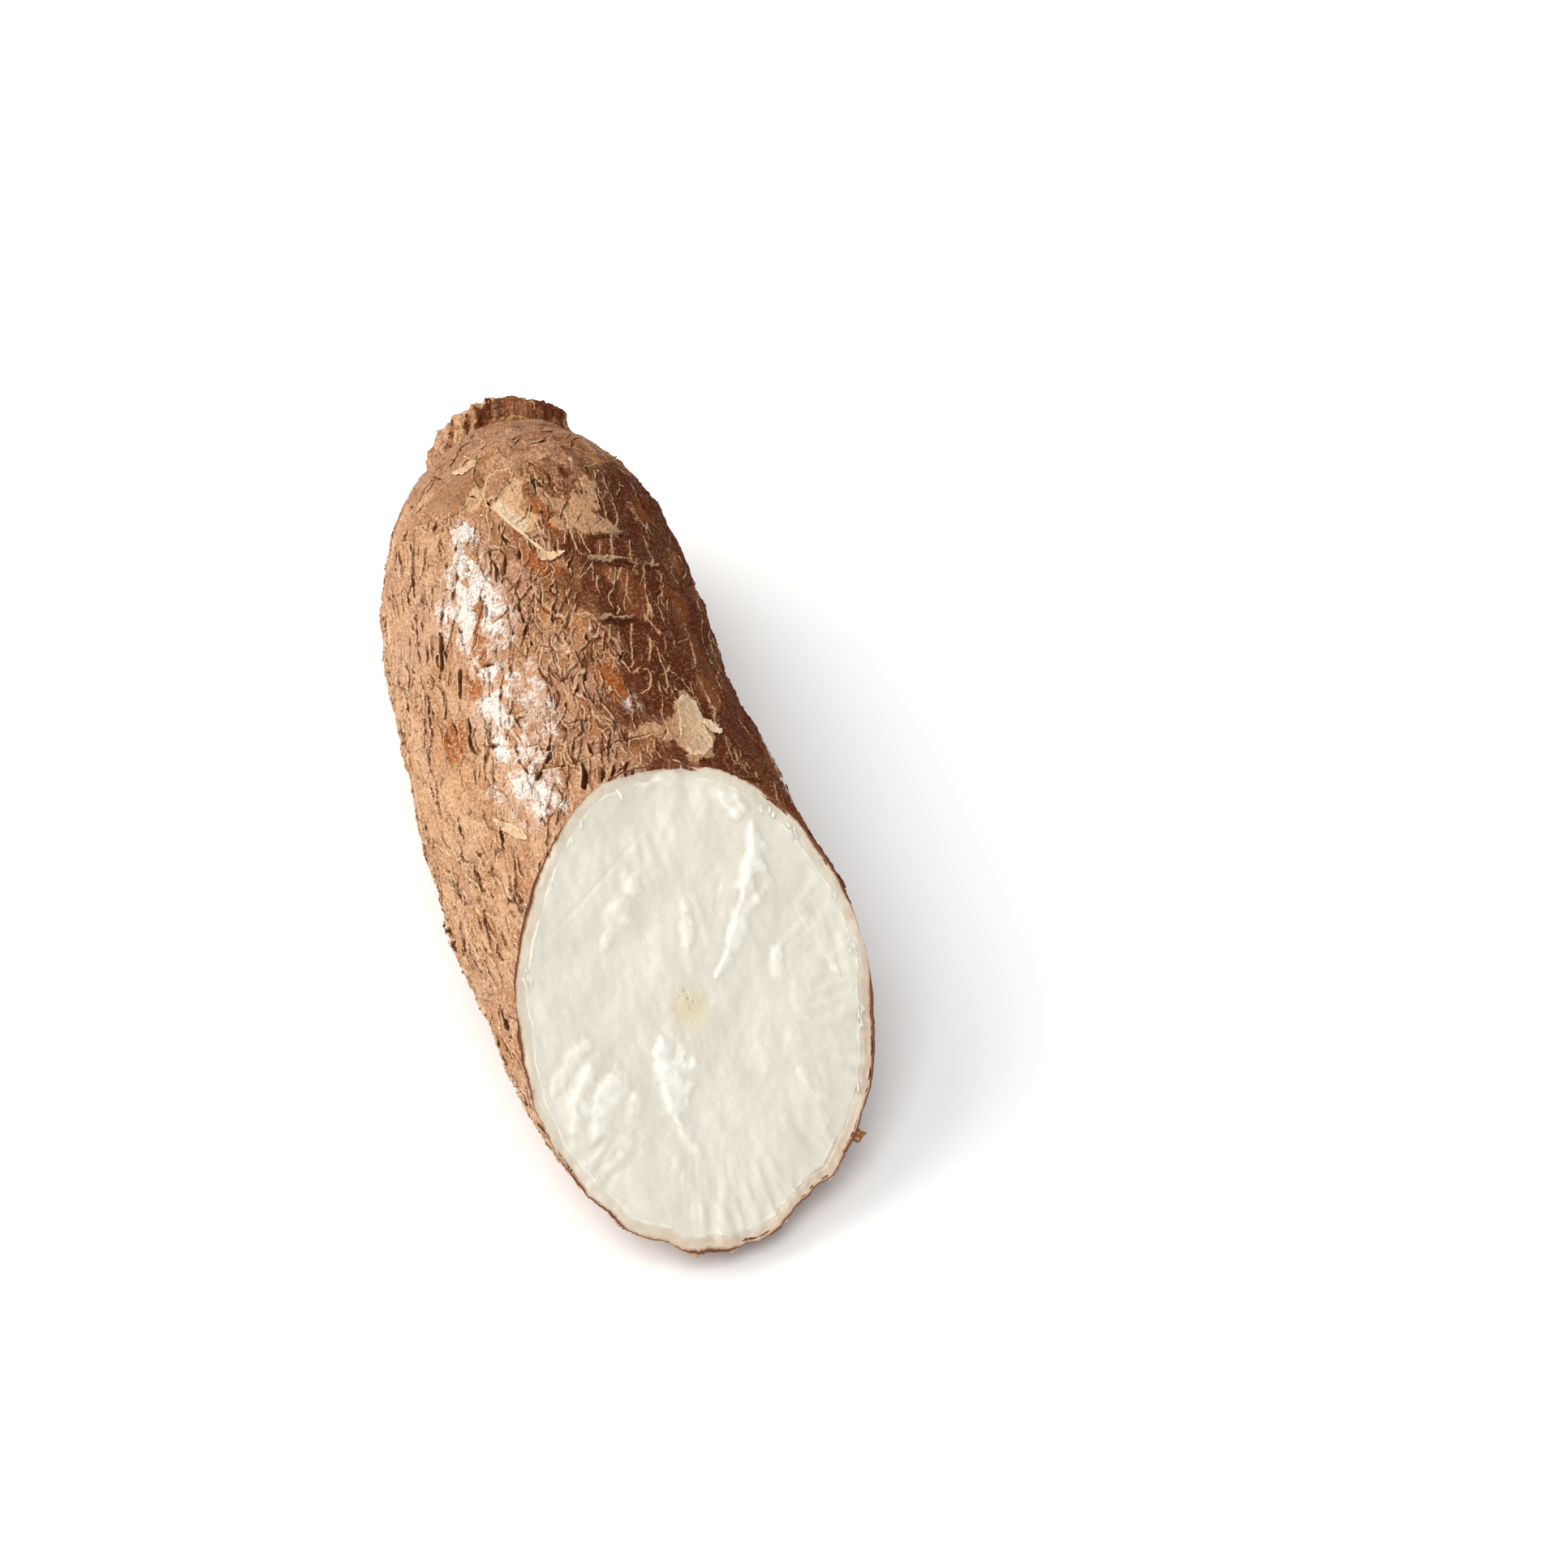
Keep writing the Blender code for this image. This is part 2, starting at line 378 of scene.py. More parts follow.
CHOCOLATE_HOLLOWS = (  # outlines of the darkest, smooth skin
    ((62, 41), (55, 43), (54, 51), (60, 54), (64, 49)),
    ((76, 34), (71, 33), (70, 37.5), (74, 39)),
    ((74, 56), (58, 55), (60, 60.5), (75, 60)),
    ((69, 78), (60, 77), (62, 83), (67, 87), (72, 86)),
    ((71, 91.5), (63.5, 90), (64.5, 94), (70, 97)),
)
SEAMS = (  # raised pale seams on the dark skin: their points and half widths
    (((75, 0.5), (74, 3.0), (71, 6.0)), (0.08, 0.10, 0.06)),
    (((82, 2.0), (83, 4.0), (81, 6.2)), (0.05, 0.12, 0.08)),
    (((60, 0.5), (60, 2.5)), (0.2, 0.05)),
    (((79, 33.4), (78, 38.9), (77, 40.3)), (0.06, 0.1, 0.04)),
    (((60, 30.4), (61, 32.9), (59.6, 35), (59.5, 37), (62.4, 39.4)), (0.05, 0.11, 0.14, 0.05)),
    (((53.6, 34.4), (53, 36.2), (54.3, 38.4)), (0.14, 0.05)),
    (((57.9, 41.2), (59.8, 43.3), (63.2, 45.1)), (0.10, 0.04)),
    (
        ((55, 40.7), (56, 44.1), (55.6, 46.6), (57.5, 49.3), (60.4, 51.9), (61.7, 53.4)),
        (0.10, 0.15, 0.10),
    ),
    (((62.1, 47.8), (63.3, 49.8), (63, 51.7), (62.9, 53.5)), (0.10, 0.13, 0.06)),
    (((63.6, 54.4), (65.1, 56.7), (66.2, 59.4), (66.9, 60.8)), (0.12, 0.16, 0.14)),
    (((78.6, 53.3), (79.3, 55.4), (79.1, 57.8), (79.1, 59.4), (77.6, 60.8)), (0.20, 0.12, 0.08)),
    (((69.3, 56.6), (70.9, 59.8)), (0.05, 0.10)),
    (((57.2, 55.2), (58.7, 58.6), (59.3, 61)), (0.05, 0.12)),
    (((48, 52), (48, 56), (50, 61)), (0.04, 0.10)),
    (((69, 64.1), (71, 66.7)), (0.08, 0.05)),
    (((64, 63.2), (67, 65.5), (68, 67.1)), (0.10, 0.08)),
    (((63, 64.6), (65, 68), (66.5, 70), (66, 73)), (0.06, 0.14, 0.08)),
    (((75, 66.1), (77, 69), (76, 72.6)), (0.06, 0.14, 0.05)),
    (((55, 62), (57, 65.8), (58, 68.8), (59, 72.9), (62, 77.1)), (0.12, 0.10, 0.15, 0.08)),
    (((59, 72.9), (60, 76.5)), (0.12, 0.05)),
    (((49, 61.7), (49, 64.6), (52, 70), (52, 73)), (0.05, 0.10, 0.15)),
    (((77, 78.9), (79, 82.4), (81, 86), (78, 89.2), (75, 89.6), (73, 87.6)), (0.08, 0.15, 0.10, 0.10)),
    (((75, 80.9), (77, 85.5)), (0.12, 0.06)),
    (((69, 78.6), (71, 82.6), (73, 86.9)), (0.14, 0.08)),
    (((64, 81.8), (65, 84.5), (68, 88)), (0.10, 0.12)),
    (((64, 82.2), (63, 85.5), (60, 88.1), (62, 90.1), (65, 91.2)), (0.05, 0.10, 0.16, 0.08)),
    (((59, 79.6), (58, 82.1), (60, 85.2)), (0.08, 0.05)),
    (((54, 80.1), (54, 82.7)), (0.10, 0.05)),
    (((45, 79.4), (46, 82.5), (48, 86.3), (52, 88.5)), (0.16, 0.10, 0.06)),
    (((64, 91.5), (65, 95.7), (65, 99.5)), (0.06, 0.08, 0.04)),
    (((67, 94.7), (67, 96.7)), (0.08, 0.05)),
    (((50.3, 89.1), (50, 91.5), (49.6, 97), (52.4, 101.9)), (0.06, 0.12, 0.12, 0.06)),
    (((53.6, 105.7), (52.1, 108.7), (52, 113.5)), (0.06, 0.14, 0.10)),
    (((53.7, 106.4), (56, 110.4), (55, 113)), (0.05, 0.12, 0.08)),
    (((75, 90.9), (72, 89.8), (69, 90.9), (72, 95.2), (76, 96.3)), (0.10, 0.14, 0.10)),
)
SCARS = (  # flaky ledges that run round the root: their points and half widths
    (
        ((77, 61.4), (73.2, 60.9), (69.7, 61.3), (66.2, 61.7), (61.6, 61.7), (57, 62)),
        (0.05, 0.42, 0.50, 0.35, 0.15, 0.05),
    ),
    (((55, 61.6), (51, 61), (48, 60.8)), (0.05, 0.35, 0.10)),
    (((80, 78), (76, 76.8), (72, 77.6), (66, 76.1)), (0.10, 0.40, 0.35, 0.30, 0.08)),
    (((70.5, 54.8), (66.1, 54.3), (61.4, 53.7), (56, 53.3)), (0.02, 0.10, 0.14, 0.02)),
    (((240, 96), (226, 98), (208, 96), (193, 99)), (0.1, 0.4, 0.15)),
    (((330, 60), (314, 62), (302, 60)), (0.1, 0.5, 0.1)),
    (((380, 84), (365, 86), (352, 84)), (0.1, 0.4, 0.1)),
)
CREASES = (  # long creases that cross the grain
    (
        ((128, 102.5), (116, 106), (108, 108), (100, 108.2), (91, 106.9), (84, 106.2), (77, 106)),
        (0.05, 0.10, 0.12, 0.22, 0.24, 0.10),
    ),
    (((133.4, 35.4), (124, 38.5), (116, 40), (111, 38)), (0.1, 0.16, 0.1)),
    (((101.5, 41.3), (98.8, 39), (95.5, 37.7)), (0.10, 0.16, 0.08)),
    (((86.3, 38.5), (86.4, 40.5), (87, 43)), (0.08, 0.22, 0.08)),
    (((86, 51.3), (82, 49.2), (80.2, 48.8)), (0.05, 0.14, 0.05)),
    (((62.2, 41), (63, 44.5), (64.3, 48)), (0.10, 0.24, 0.10)),
    (((81, 26.7), (76, 26.4), (71, 25.4)), (0.08, 0.20, 0.08)),
    (((81, 29.8), (78, 28.7), (75, 29.2)), (0.05, 0.16, 0.05)),
    (((64, 28.6), (56, 28.6), (50, 26.5)), (0.05, 0.18, 0.08)),
    (((111, 17.7), (115.5, 21), (118, 22.8)), (0.05, 0.12, 0.14)),
    (((120, 5), (122, 8.4), (121.5, 13)), (0.12, 0.16, 0.05)),
    (((134, 4), (135, 8)), (0.15, 0.08)),
    (((92, 15.5), (80, 16.6), (62, 18)), (0.02, 0.06, 0.03)),
    (((99, 19.5), (88, 20.5), (79, 22)), (0.02, 0.06, 0.03)),
    (((58, 20), (48, 22), (40, 25)), (0.03, 0.10, 0.03)),
    (((126, 19), (133, 24), (139, 30)), (0.02, 0.06, 0.02)),
    (((111.3, 9.9), (115.2, 17.1)), (0.04, 0.08)),
    (((115.5, 19.3), (110.5, 18.2)), (0.05, 0.12)),
    (((122.5, 77.9), (120.9, 78), (119.3, 78.9), (117.5, 79.5)), (0.15, 0.40, 0.45, 0.15)),
    (((136.6, 38), (139.6, 43.4), (139.6, 47.7), (145.5, 48.5)), (0.05, 0.08, 0.10, 0.04)),
    (((135, 62.8), (135.8, 67), (139.4, 71.7)), (0.12, 0.20, 0.06)),
    (((126.8, 65.8), (126.5, 72.5)), (0.10, 0.06)),
    (((130.5, 74.5), (133.4, 79.6)), (0.12, 0.08)),
    (((108, 56.1), (109.6, 60.3)), (0.12, 0.14)),
    (((113.6, 54.6), (113.2, 58), (111.1, 60.6)), (0.08, 0.12, 0.06)),
    (((144.5, 60.4), (147.2, 64.6)), (0.08, 0.05)),
    (((103.7, 108.6), (104.5, 111.1), (106.6, 113.5)), (0.15, 0.35, 0.40)),
    (((99.2, 104.9), (99.7, 107.3)), (0.10, 0.28)),
    (((135.7, 109.5), (138, 114.2)), (0.25, 0.10)),
    (((156.9, 59.3), (156.2, 62.6), (159.7, 64.3)), (0.10, 0.06)),
    (((134, 39.6), (125.2, 41.6), (117, 42), (113.7, 39.8)), (0.04, 0.06, 0.05)),
    (((106, 29.8), (107.5, 33), (106, 36)), (0.10, 0.06)),
    (((60, 89), (58, 91.6), (56, 94.3)), (0.10, 0.22, 0.10)),
    (((135, 64), (136.5, 67.7), (139.7, 72)), (0.10, 0.24, 0.08)),
    (((147.2, 71), (149.7, 75.3), (150.5, 80.5)), (0.08, 0.18, 0.14)),
    (((131, 74.7), (132, 77), (133.3, 80.3)), (0.12, 0.22, 0.10)),
    (((132.6, 85.5), (135.1, 89.9), (134.9, 92.6)), (0.14, 0.22, 0.10)),
    (((109.5, 54), (108, 57), (108.3, 60)), (0.06, 0.20, 0.08)),
    (((91.5, 84), (90.5, 89), (93, 92), (92, 97)), (0.08, 0.22, 0.10, 0.16)),
    (((210, 30), (190, 34), (172, 31)), (0.05, 0.14, 0.05)),
    (((300, 46), (280, 50), (262, 47)), (0.05, 0.14, 0.05)),
)  # fmt: skip


def bark_plates(seed, across, along):
    """Long scales of bark: distance to the nearest join, a number for each, its tilt, and how
    far it overlaps the scale across the join."""
    rng = np.random.default_rng(seed)
    columns = round(GIRTH / across)
    rows = round(LENGTH / along) + 1
    shake = rng.random((rows, columns, 2))
    number = rng.random((rows, columns))
    bend = 0.8 * soft_noise(seed + 1, 5.0, 10.0) + 0.35 * soft_noise(seed + 2, 1.4, 4.0)
    place_u = (ROUND + bend) / GIRTH * columns
    place_v = (ALONG + 2.0 * soft_noise(seed + 3, 4.0, 8.0)) / along
    cell_u = np.floor(place_u).astype(int)
    cell_v = np.floor(place_v).astype(int)
    nearest = np.full(BARK_SHAPE, np.inf)
    second = np.full(BARK_SHAPE, np.inf)
    owner = np.zeros(BARK_SHAPE)
    rival = np.zeros(BARK_SHAPE)
    tilt = np.zeros(BARK_SHAPE)
    for dv in (-1, 0, 1):
        for du in (-1, 0, 1):
            row = np.clip(cell_v + dv, 0, rows - 1)
            column = (cell_u + du) % columns
            offset_u = place_u - (cell_u + du + 0.1 + 0.8 * shake[row, column, 0])
            offset_v = place_v - (cell_v + dv + 0.1 + 0.8 * shake[row, column, 1])
            away = np.hypot(offset_u, offset_v)
            closer = away < nearest
            rival = np.where(closer, owner, np.where(away < second, number[row, column], rival))
            second = np.where(closer, nearest, np.minimum(second, away))
            owner = np.where(closer, number[row, column], owner)
            angle = number[row, column] * 40.0  # the scale's number picks which way it tilts
            tilt = np.where(closer, np.cos(angle) * offset_u + np.sin(angle) * offset_v, tilt)
            nearest = np.where(closer, away, nearest)
    border = second - nearest
    slope = np.hypot(*np.gradient(border, CELL))
    gap = np.minimum(border / np.maximum(slope, 0.03), FAR)
    return gap, owner, np.clip(tilt, -1.0, 1.0), owner - rival


# Kinds of slit: spacing round and along the root, lengths, spread of their heading off the
# grain in degrees, sway, half width as a hairline, how much wider they gape, how far one side
# lifts, and the share of them that fork.
LONG_SLITS = ((2.7, 5.4), (2.5, 9.0), 5.0, 0.12, 0.05, 0.28, (0.3, 1.0), 0.25)
HOOKED_SLITS = ((2.4, 3.8), (2.0, 5.0), 12.0, 0.24, 0.07, 0.24, (0.6, 1.0), 0.0)
FINE_SLITS = ((2.1, 3.4), (1.2, 3.6), 8.0, 0.16, 0.045, 0.16, (0.2, 0.8), 0.0)


def strew_slits(splits, rng, kind, chance):
    """Adds one kind of slit, thinned by a map of chances."""
    spacing, lengths, heading, sway, hairline, gape, lifts, forks = kind
    for place in strew(rng, *spacing, chance):
        path = wander(rng, place, rng.uniform(*lengths), rng.normal(0.0, heading), sway)
        side = rng.choice((-1.0, 1.0)) * rng.uniform(*lifts)
        splits.draw(path, gaping(rng, len(path), hairline, rng.uniform(0.0, gape)), side)
        if forks and rng.random() < forks:
            branch = fork_of(rng, path, (2.0, 5.0), (18, 50))
            splits.draw(branch, gaping(rng, len(branch), hairline, 0.06), 0.5 * side)


def bark_splits(rough, brown):
    """The slits along the root, the cracks round its shoulder and its long creases."""
    splits = Strokes()
    rng = np.random.default_rng(31)
    strew_slits(splits, rng, LONG_SLITS, 0.85 * rough * (1.0 - 0.8 * ease(brown, 0.5, 0.8)))
    strew_slits(splits, rng, HOOKED_SLITS, 0.7 * rough * bump(brown, 0.44, 0.2))
    strew_slits(splits, rng, FINE_SLITS, 0.55 * rough * (1.0 - ease(brown, 0.45, 0.75)))
    for place in strew(rng, 3.0, 3.0, 0.6 * bump(ALONG, 24.0, 9.0)):
        path = wander(rng, place, rng.uniform(1.2, 4.0), rng.normal(75.0, 25.0), 0.22)
        half_width = gaping(rng, len(path), 0.08, rng.uniform(0.0, 0.22))
        splits.draw(path, half_width, rng.choice((-1.0, 1.0)))
    for points, widths in CREASES:
        splits.draw(*drawn(points, widths), 0.9)
    return splits


def bark_seams(brown):
    """Raised pale lines where dark skin has split and healed."""
    seams = Strokes()
    rng = np.random.default_rng(37)
    for place in strew(rng, 4.0, 8.5, 0.45 * ease(brown, 0.5, 0.85) * ease(ALONG, 24.0, 40.0)):
        path = wander(rng, place, rng.uniform(2.5, 7.0), rng.normal(0.0, 6.0), 0.16)
        seams.draw(path, rng.uniform(0.04, 0.11) * tapered(len(path)))
        if rng.random() < 0.25:
            branch = fork_of(rng, path, (1.2, 2.6), (25, 50))
            seams.draw(branch, 0.05 * tapered(len(branch)))
    for points, widths in SEAMS:
        path, half_width = drawn(points, widths)
        seams.draw(path, 0.85 * half_width)
    return seams.gap


def bark_scars():
    """The flaky ledges that run round the root."""
    scars = Strokes()
    for points, widths in SCARS:
        scars.draw(*drawn(points, widths))
    return scars.gap


def wax_and_highlight_map(plate_number, chip_number, chip_gap, orange):
    """How thickly waxy bloom and painted highlight lie on the bark. Some chips and the fresh skin stay
    bare.
    """
    veil_and_highlight = np.minimum(merged(WAX_VEIL_AND_HIGHLIGHT, 0.8), 0.8) - 0.75
    wax_and_highlight = np.maximum(np.minimum(merged(WAX_BLOOM_AND_HIGHLIGHT, 0.6), 1.2), veil_and_highlight)
    wax_and_highlight += 0.26 * soft_noise(47, 1.6, 2.4) + 0.26 * soft_noise(48, 0.5, 0.6)
    wax_and_highlight += 0.4 * (plate_number - 0.5) + 0.4 * (chip_number - 0.5)
    wax_and_highlight -= 1.5 * ease(chip_number, 0.84, 0.90) * ease(chip_gap, 0.25, 0.55)
    return wax_and_highlight - 2.0 * ease(orange, -0.2, 0.4)


def stub_maps():
    """The stub of stem at the neck, fluted and split, with a fibrous ring at its foot.

    Gives its relief, how brown it is, where it is and where its fibrous ring is.
    """
    stub = ease(ALONG + 0.35 * RAGGED, NECK_COLLAR + 0.2, NECK_COLLAR - 1.4)
    fibres = 0.6 * soft_noise(61, 2.4, 5.0) + 0.4 * soft_noise(62, 1.0, 1.6)
    flutes = soft_noise(63, 13.0, 14.0)
    stub_split = ease(np.abs(soft_noise(64, 9.0, 14.0)), 0.06, 0.01)
    on_top = facing(80.0, 26.0)
    fringe = bump(ALONG + 0.6 * RAGGED, NECK_COLLAR - 1.5, 0.9) * on_top
    folds = sum(
        high * bump((round_from(degrees) + 0.4 * RAGGED) / DEGREE, 0.0, wide)
        for degrees, wide, high in STEM_FOLDS
    )
    crevice = bump(round_from(107.0) + 0.5 * RAGGED, 0.0, 1.1) * ease(ALONG, 8.5, 6.0)
    pits = stub * (1.0 - on_top) * ease(soft_noise(65, 1.0, 1.3), 0.9, 1.5)
    relief = stub * (0.25 * flutes + 0.06 * fibres + 0.6 * folds - 0.25 * stub_split)
    relief += 0.22 * stub * soft_noise(67, 2.6, 2.2) * (1.0 - on_top) - 0.5 * crevice
    relief -= 0.25 * pits * ease(ALONG, 1.2, 2.4)
    relief += fringe * (0.35 + 0.3 * fibres)
    relief -= 0.5 * bump(ALONG, NECK_COLLAR + 1.0, 1.8) * (1.0 - 0.8 * facing(140.0, 30.0))
    relief += 0.7 * facing(164.0, 14.0) * bump(ALONG, 2.4, 2.2)
    # Raised folds are painted paler, and sunken folds and pits darker: painted light and shade on the
    # stub's relief.
    brown = around(STEM_BROWNNESS) + 0.06 * flutes + 0.03 * fibres - 0.6 * folds + 0.4 * pits
    brown += 0.10 * soft_noise(66, 3.0, 3.0) * (1.0 - on_top)
    return relief, brown, stub, fringe


def bark_maps():
    """The bark's relief in millimetres, and the marks that its material reads."""
    body = 0.12 * ease(ALONG, 11.0, 17.0) + 0.88 * ease(ALONG + 4.0 * RAGGED, 24.0, 42.0)
    plate_gap, plate_number, plate_tilt, plate_over = bark_plates(21, 4.2, 11.0)
    chip_gap, chip_number, chip_tilt, chip_over = bark_plates(27, 2.1, 4.6)
    brown = around(BROWNNESS) + 0.07 * soft_noise(41, 9.0, 14.0) + 0.05 * soft_noise(42, 3.0, 6.0)
    brown = brown + 0.26 * (plate_number - 0.5) + 0.12 * (chip_number - 0.5)
    rings = soft_noise(53, 26.0, 1.1) * ease(ALONG, 34.0, 16.0) * ease(ALONG, 6.5, 9.0)
    shoulder = ease(ALONG - 12.0 * facing(66.0, 20.0), 38.0, 18.0)
    brown = brown * (1.0 - 0.36 * shoulder) + 0.12 * rings + 0.10 * soft_noise(58, 5.0, 4.0) * shoulder
    hollow = merged(CHOCOLATE_HOLLOWS)
    brown = np.clip(brown + 0.2 * ease(hollow, -0.6, 0.8), 0.0, 1.0)
    cream = merged(BARE_CREAM, 0.35)
    tan = merged(TAN_SKIN, 1.0) - 0.7 * ease(chip_number, 0.66, 0.76)
    orange = merged(ORANGE_SKIN, 0.8)
    swelling = region(SHOULDER_OVAL, 0.2)
    on_cream = ease(cream, -0.1, 0.2)
    on_tan = ease(tan, -0.1, 0.2)
    sheen = ease(region(CREAM_SHEEN, 0.5), -0.4, 1.0)
    on_swelling = ease(swelling, -1.2, 1.0)
    on_hollow = ease(hollow, 0.0, 1.0)
    smooth_skin = np.maximum.reduce([on_cream, 0.65 * on_tan, 0.85 * on_swelling, 0.6 * on_hollow])
    rough = body * (1.0 - smooth_skin)
    grey = np.maximum(0.85 * ease(ALONG + 4.0 * RAGGED, 32.0, 18.0) * ease(ALONG, 6.0, 9.0), on_swelling)
    grey = np.maximum(grey, 0.9 * ease(oval(101.5, 74.0, 1.5, 2.9, 0.1), -0.1, 0.3))

    splits = bark_splits(rough, brown)
    seam_gap = bark_seams(brown)
    scar_gap = bark_scars()
    patchy = soft_noise(43, 6.0, 10.0)
    chip_patchy = soft_noise(44, 5.0, 8.0)
    join = ease(plate_gap, 0.30, 0.0) * ease(patchy, -1.2, 0.3)
    chip_join = ease(chip_gap, 0.22, 0.0) * ease(chip_patchy, 0.0, 1.0)
    scaly = rough * (0.5 + 0.6 * bump(brown, 0.45, 0.22)) * ease(patchy, -1.4, -0.4)
    overlap = np.tanh(4.0 * plate_over) * ease(plate_gap, 0.46, 0.12)
    chip_overlap = 0.8 * np.tanh(4.0 * chip_over) * ease(chip_gap, 0.34, 0.10) * ease(patchy, 0.6, -0.4)
    overlap = np.where(np.abs(overlap) > 0.15, overlap, chip_overlap) * scaly
    open_split = ease(splits.gap, 0.10, -0.16)
    lifted = np.maximum(splits.curl, 0.0) * np.exp(-np.maximum(splits.gap, 0.0) / 0.40)
    sunken = np.maximum(-splits.curl, 0.0) * np.exp(-np.maximum(splits.gap, 0.0) / 0.35)
    seam = ease(seam_gap, 0.14, -0.08) * body * (1.0 - open_split)
    scar = ease(scar_gap + 0.25 * soft_noise(46, 1.2, 0.8), 0.15, -0.2)
    # A painted shadow in the groove below each flaky ledge; it also sinks that groove.
    below_scar = np.roll(ease(scar_gap, 0.9, -0.1), round(0.9 / CELL), axis=0) * (1.0 - scar)

    relief = 0.26 * soft_noise(54, 16.0, 22.0) + 0.15 * soft_noise(55, 6.0, 9.0)
    wrinkle = 0.6 * soft_noise(51, 1.1, 7.0) + 0.4 * soft_noise(52, 0.7, 3.0)
    relief += 0.07 * wrinkle * rough + 0.05 * soft_noise(56, 0.5, 0.6)
    relief += 0.035 * soft_noise(57, 0.4, 2.6) * (0.4 + 0.6 * rough)
    relief += (0.42 * (plate_number - 0.5) + 0.30 * plate_tilt) * rough
    relief += (0.18 * (chip_number - 0.5) + 0.18 * chip_tilt) * rough
    relief += (0.48 * lifted - 0.20 * sunken) * (0.4 + 0.6 * rough)
    relief -= 0.40 * open_split * ease(splits.gap, 0.05, -0.25) + 0.16 * open_split
    relief -= 0.22 * join * rough + 0.10 * chip_join * rough
    relief += 0.24 * overlap
    relief += 0.14 * seam + 0.32 * scar - 0.35 * below_scar
    relief += 0.20 * on_tan - 0.40 * on_cream
    relief -= 0.10 * ease(orange, -0.5, 0.5) + 0.2 * ease(hollow, -1.0, 1.0)
    relief += 0.5 * on_swelling - 0.25 * bump(swelling, -1.2, 0.5)
    relief += 0.10 * rings + 0.10 * soft_noise(59, 3.5, 2.2) * shoulder * ease(ALONG, 8.0, 12.0)

    stub_relief, stem_brown, stub, fringe = stub_maps()
    relief += stub_relief
    brown = brown + (stem_brown - brown) * ease(ALONG + 0.5 * RAGGED, 8.4, 6.4)
    brown = np.clip(brown, 0.0, 1.0)
    cream = np.maximum(cream, region(TORN_LIP, 0.9))

    marks = {
        "split": np.minimum(splits.gap, 1.2) + 0.5 * ease(ALONG, 12.0, 6.0) * ease(splits.gap, 0.6, 0.0),
        "curl": np.clip(splits.curl, -1.0, 1.0) * (0.3 + 0.7 * body),
        "join": np.where(patchy > -0.9, plate_gap, FAR) + 1.5 * (1.0 - rough),
        "chip": chip_gap + 1.2 * ease(chip_patchy, 0.8, -0.2) + 1.5 * (1.0 - rough),
        "seam": seam_gap + 0.6 * (1.0 - np.maximum(body, stub)),
        "scar": scar_gap,
        "brown": brown,
        "wax_and_highlight": wax_and_highlight_map(plate_number, chip_number, chip_gap, orange),
        # the painted shadow below the ledges
        "hollow": below_scar,
        "cream": cream,
        "tan": tan,
        "orange": orange,
        "grey": grey,
        "overlap": overlap,
        "plate": plate_number,
        "stub": fringe,
        "sheen": sheen,
    }
    return relief, marks


# ---------------------------------------------------------------- the root's body, read from CAD

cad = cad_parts["cassava_root"]
CORNERS = np.array([v.co for v in cad.data.vertices], float) / MM
NECK_Y = CORNERS[:, 1].max()
RAYS_FROM = 70.0  # outside the root on every side


def slice_plane():
    """The slice is the solid's largest flat: its outward normal, its offset and its faces."""
    normals = np.array([p.normal for p in cad.data.polygons], float)
    areas = np.array([p.area for p in cad.data.polygons])
    middles = np.array([p.center for p in cad.data.polygons], float) / MM
    largest = normals @ normals[areas.argmax()] > 0.99995
    normal = (normals[largest] * areas[largest, None]).sum(0)
    normal = normal / np.linalg.norm(normal)
    return normal, (middles[largest] @ normal).mean(), largest


SLICE_NORMAL, SLICE_OFFSET, on_slice = slice_plane()
slice_corners = CORNERS[np.unique([cad.data.polygons[i].vertices[:] for i in np.flatnonzero(on_slice)])]
WHOLE = NECK_Y - slice_corners[:, 1].max()  # length over which the root is whole all round


def middle_line():
    """Sideways place and height of the root's middle, as smooth curves along it."""
    stations = np.arange(3.0, WHOLE, 3.0)
    middles = []
    for along in stations:
        near = CORNERS[np.abs(CORNERS[:, 1] - NECK_Y + along) < 2.6]
        middles.append((near.max(0) + near.min(0))[[0, 2]] / 2.0)
    return np.polyfit(stations, np.array(middles), 4)


MIDDLE = middle_line()


def middle(along):
    """Sideways place and height of the middle line; beyond its ends it runs on straight."""
    held = np.clip(along, 0.0, WHOLE - 3.0)
    return np.polyval(MIDDLE[:, 0], held), np.polyval(MIDDLE[:, 1], held)


def smooth(field, spread, axis, wrap):
    """Blurs a map along one axis by a bell of this spread, in grid steps."""
    reach = int(3 * spread) + 1
    bell = np.exp(-0.5 * (np.arange(-reach, reach + 1) / spread) ** 2)
    pad = [(0, 0), (0, 0)]
    pad[axis] = (reach, reach)
    padded = np.pad(field, pad, mode="wrap" if wrap else "edge")
    return np.apply_along_axis(lambda line: np.convolve(line, bell / bell.sum(), "valid"), axis, padded)


RADIUS_STEP = 0.5  # along the root, for the map of its radius
RADIUS_BEARINGS = 240


def radius_map():
    """How far the CAD solid reaches from its middle line, by distance along and by bearing."""
    surface = BVHTree.FromPolygons(
        [v.co for v in cad.data.vertices], [p.vertices[:] for p in cad.data.polygons]
    )
    stations = np.arange(0.0, LENGTH, RADIUS_STEP)
    field = np.full((len(stations), RADIUS_BEARINGS), np.nan)
    for i, along in enumerate(stations):
        x, z = middle(along)
        for k in range(RADIUS_BEARINGS):
            angle = 2 * math.pi * k / RADIUS_BEARINGS
            out = Vector((math.cos(angle), 0.0, math.sin(angle)))
            base = Vector((x, NECK_Y - along, z)) * MM
            hit, _, face, _ = surface.ray_cast(base + out * RAYS_FROM * MM, -out)
            if hit is not None and not on_slice[face]:
                field[i, k] = (hit - base).dot(out) / MM
    for k in range(RADIUS_BEARINGS):
        known = np.flatnonzero(~np.isnan(field[:, k]))
        field[:, k] = np.interp(np.arange(len(stations)), known, field[known, k])
    return smooth(smooth(field, 2.0, 0, False), 1.6, 1, True)


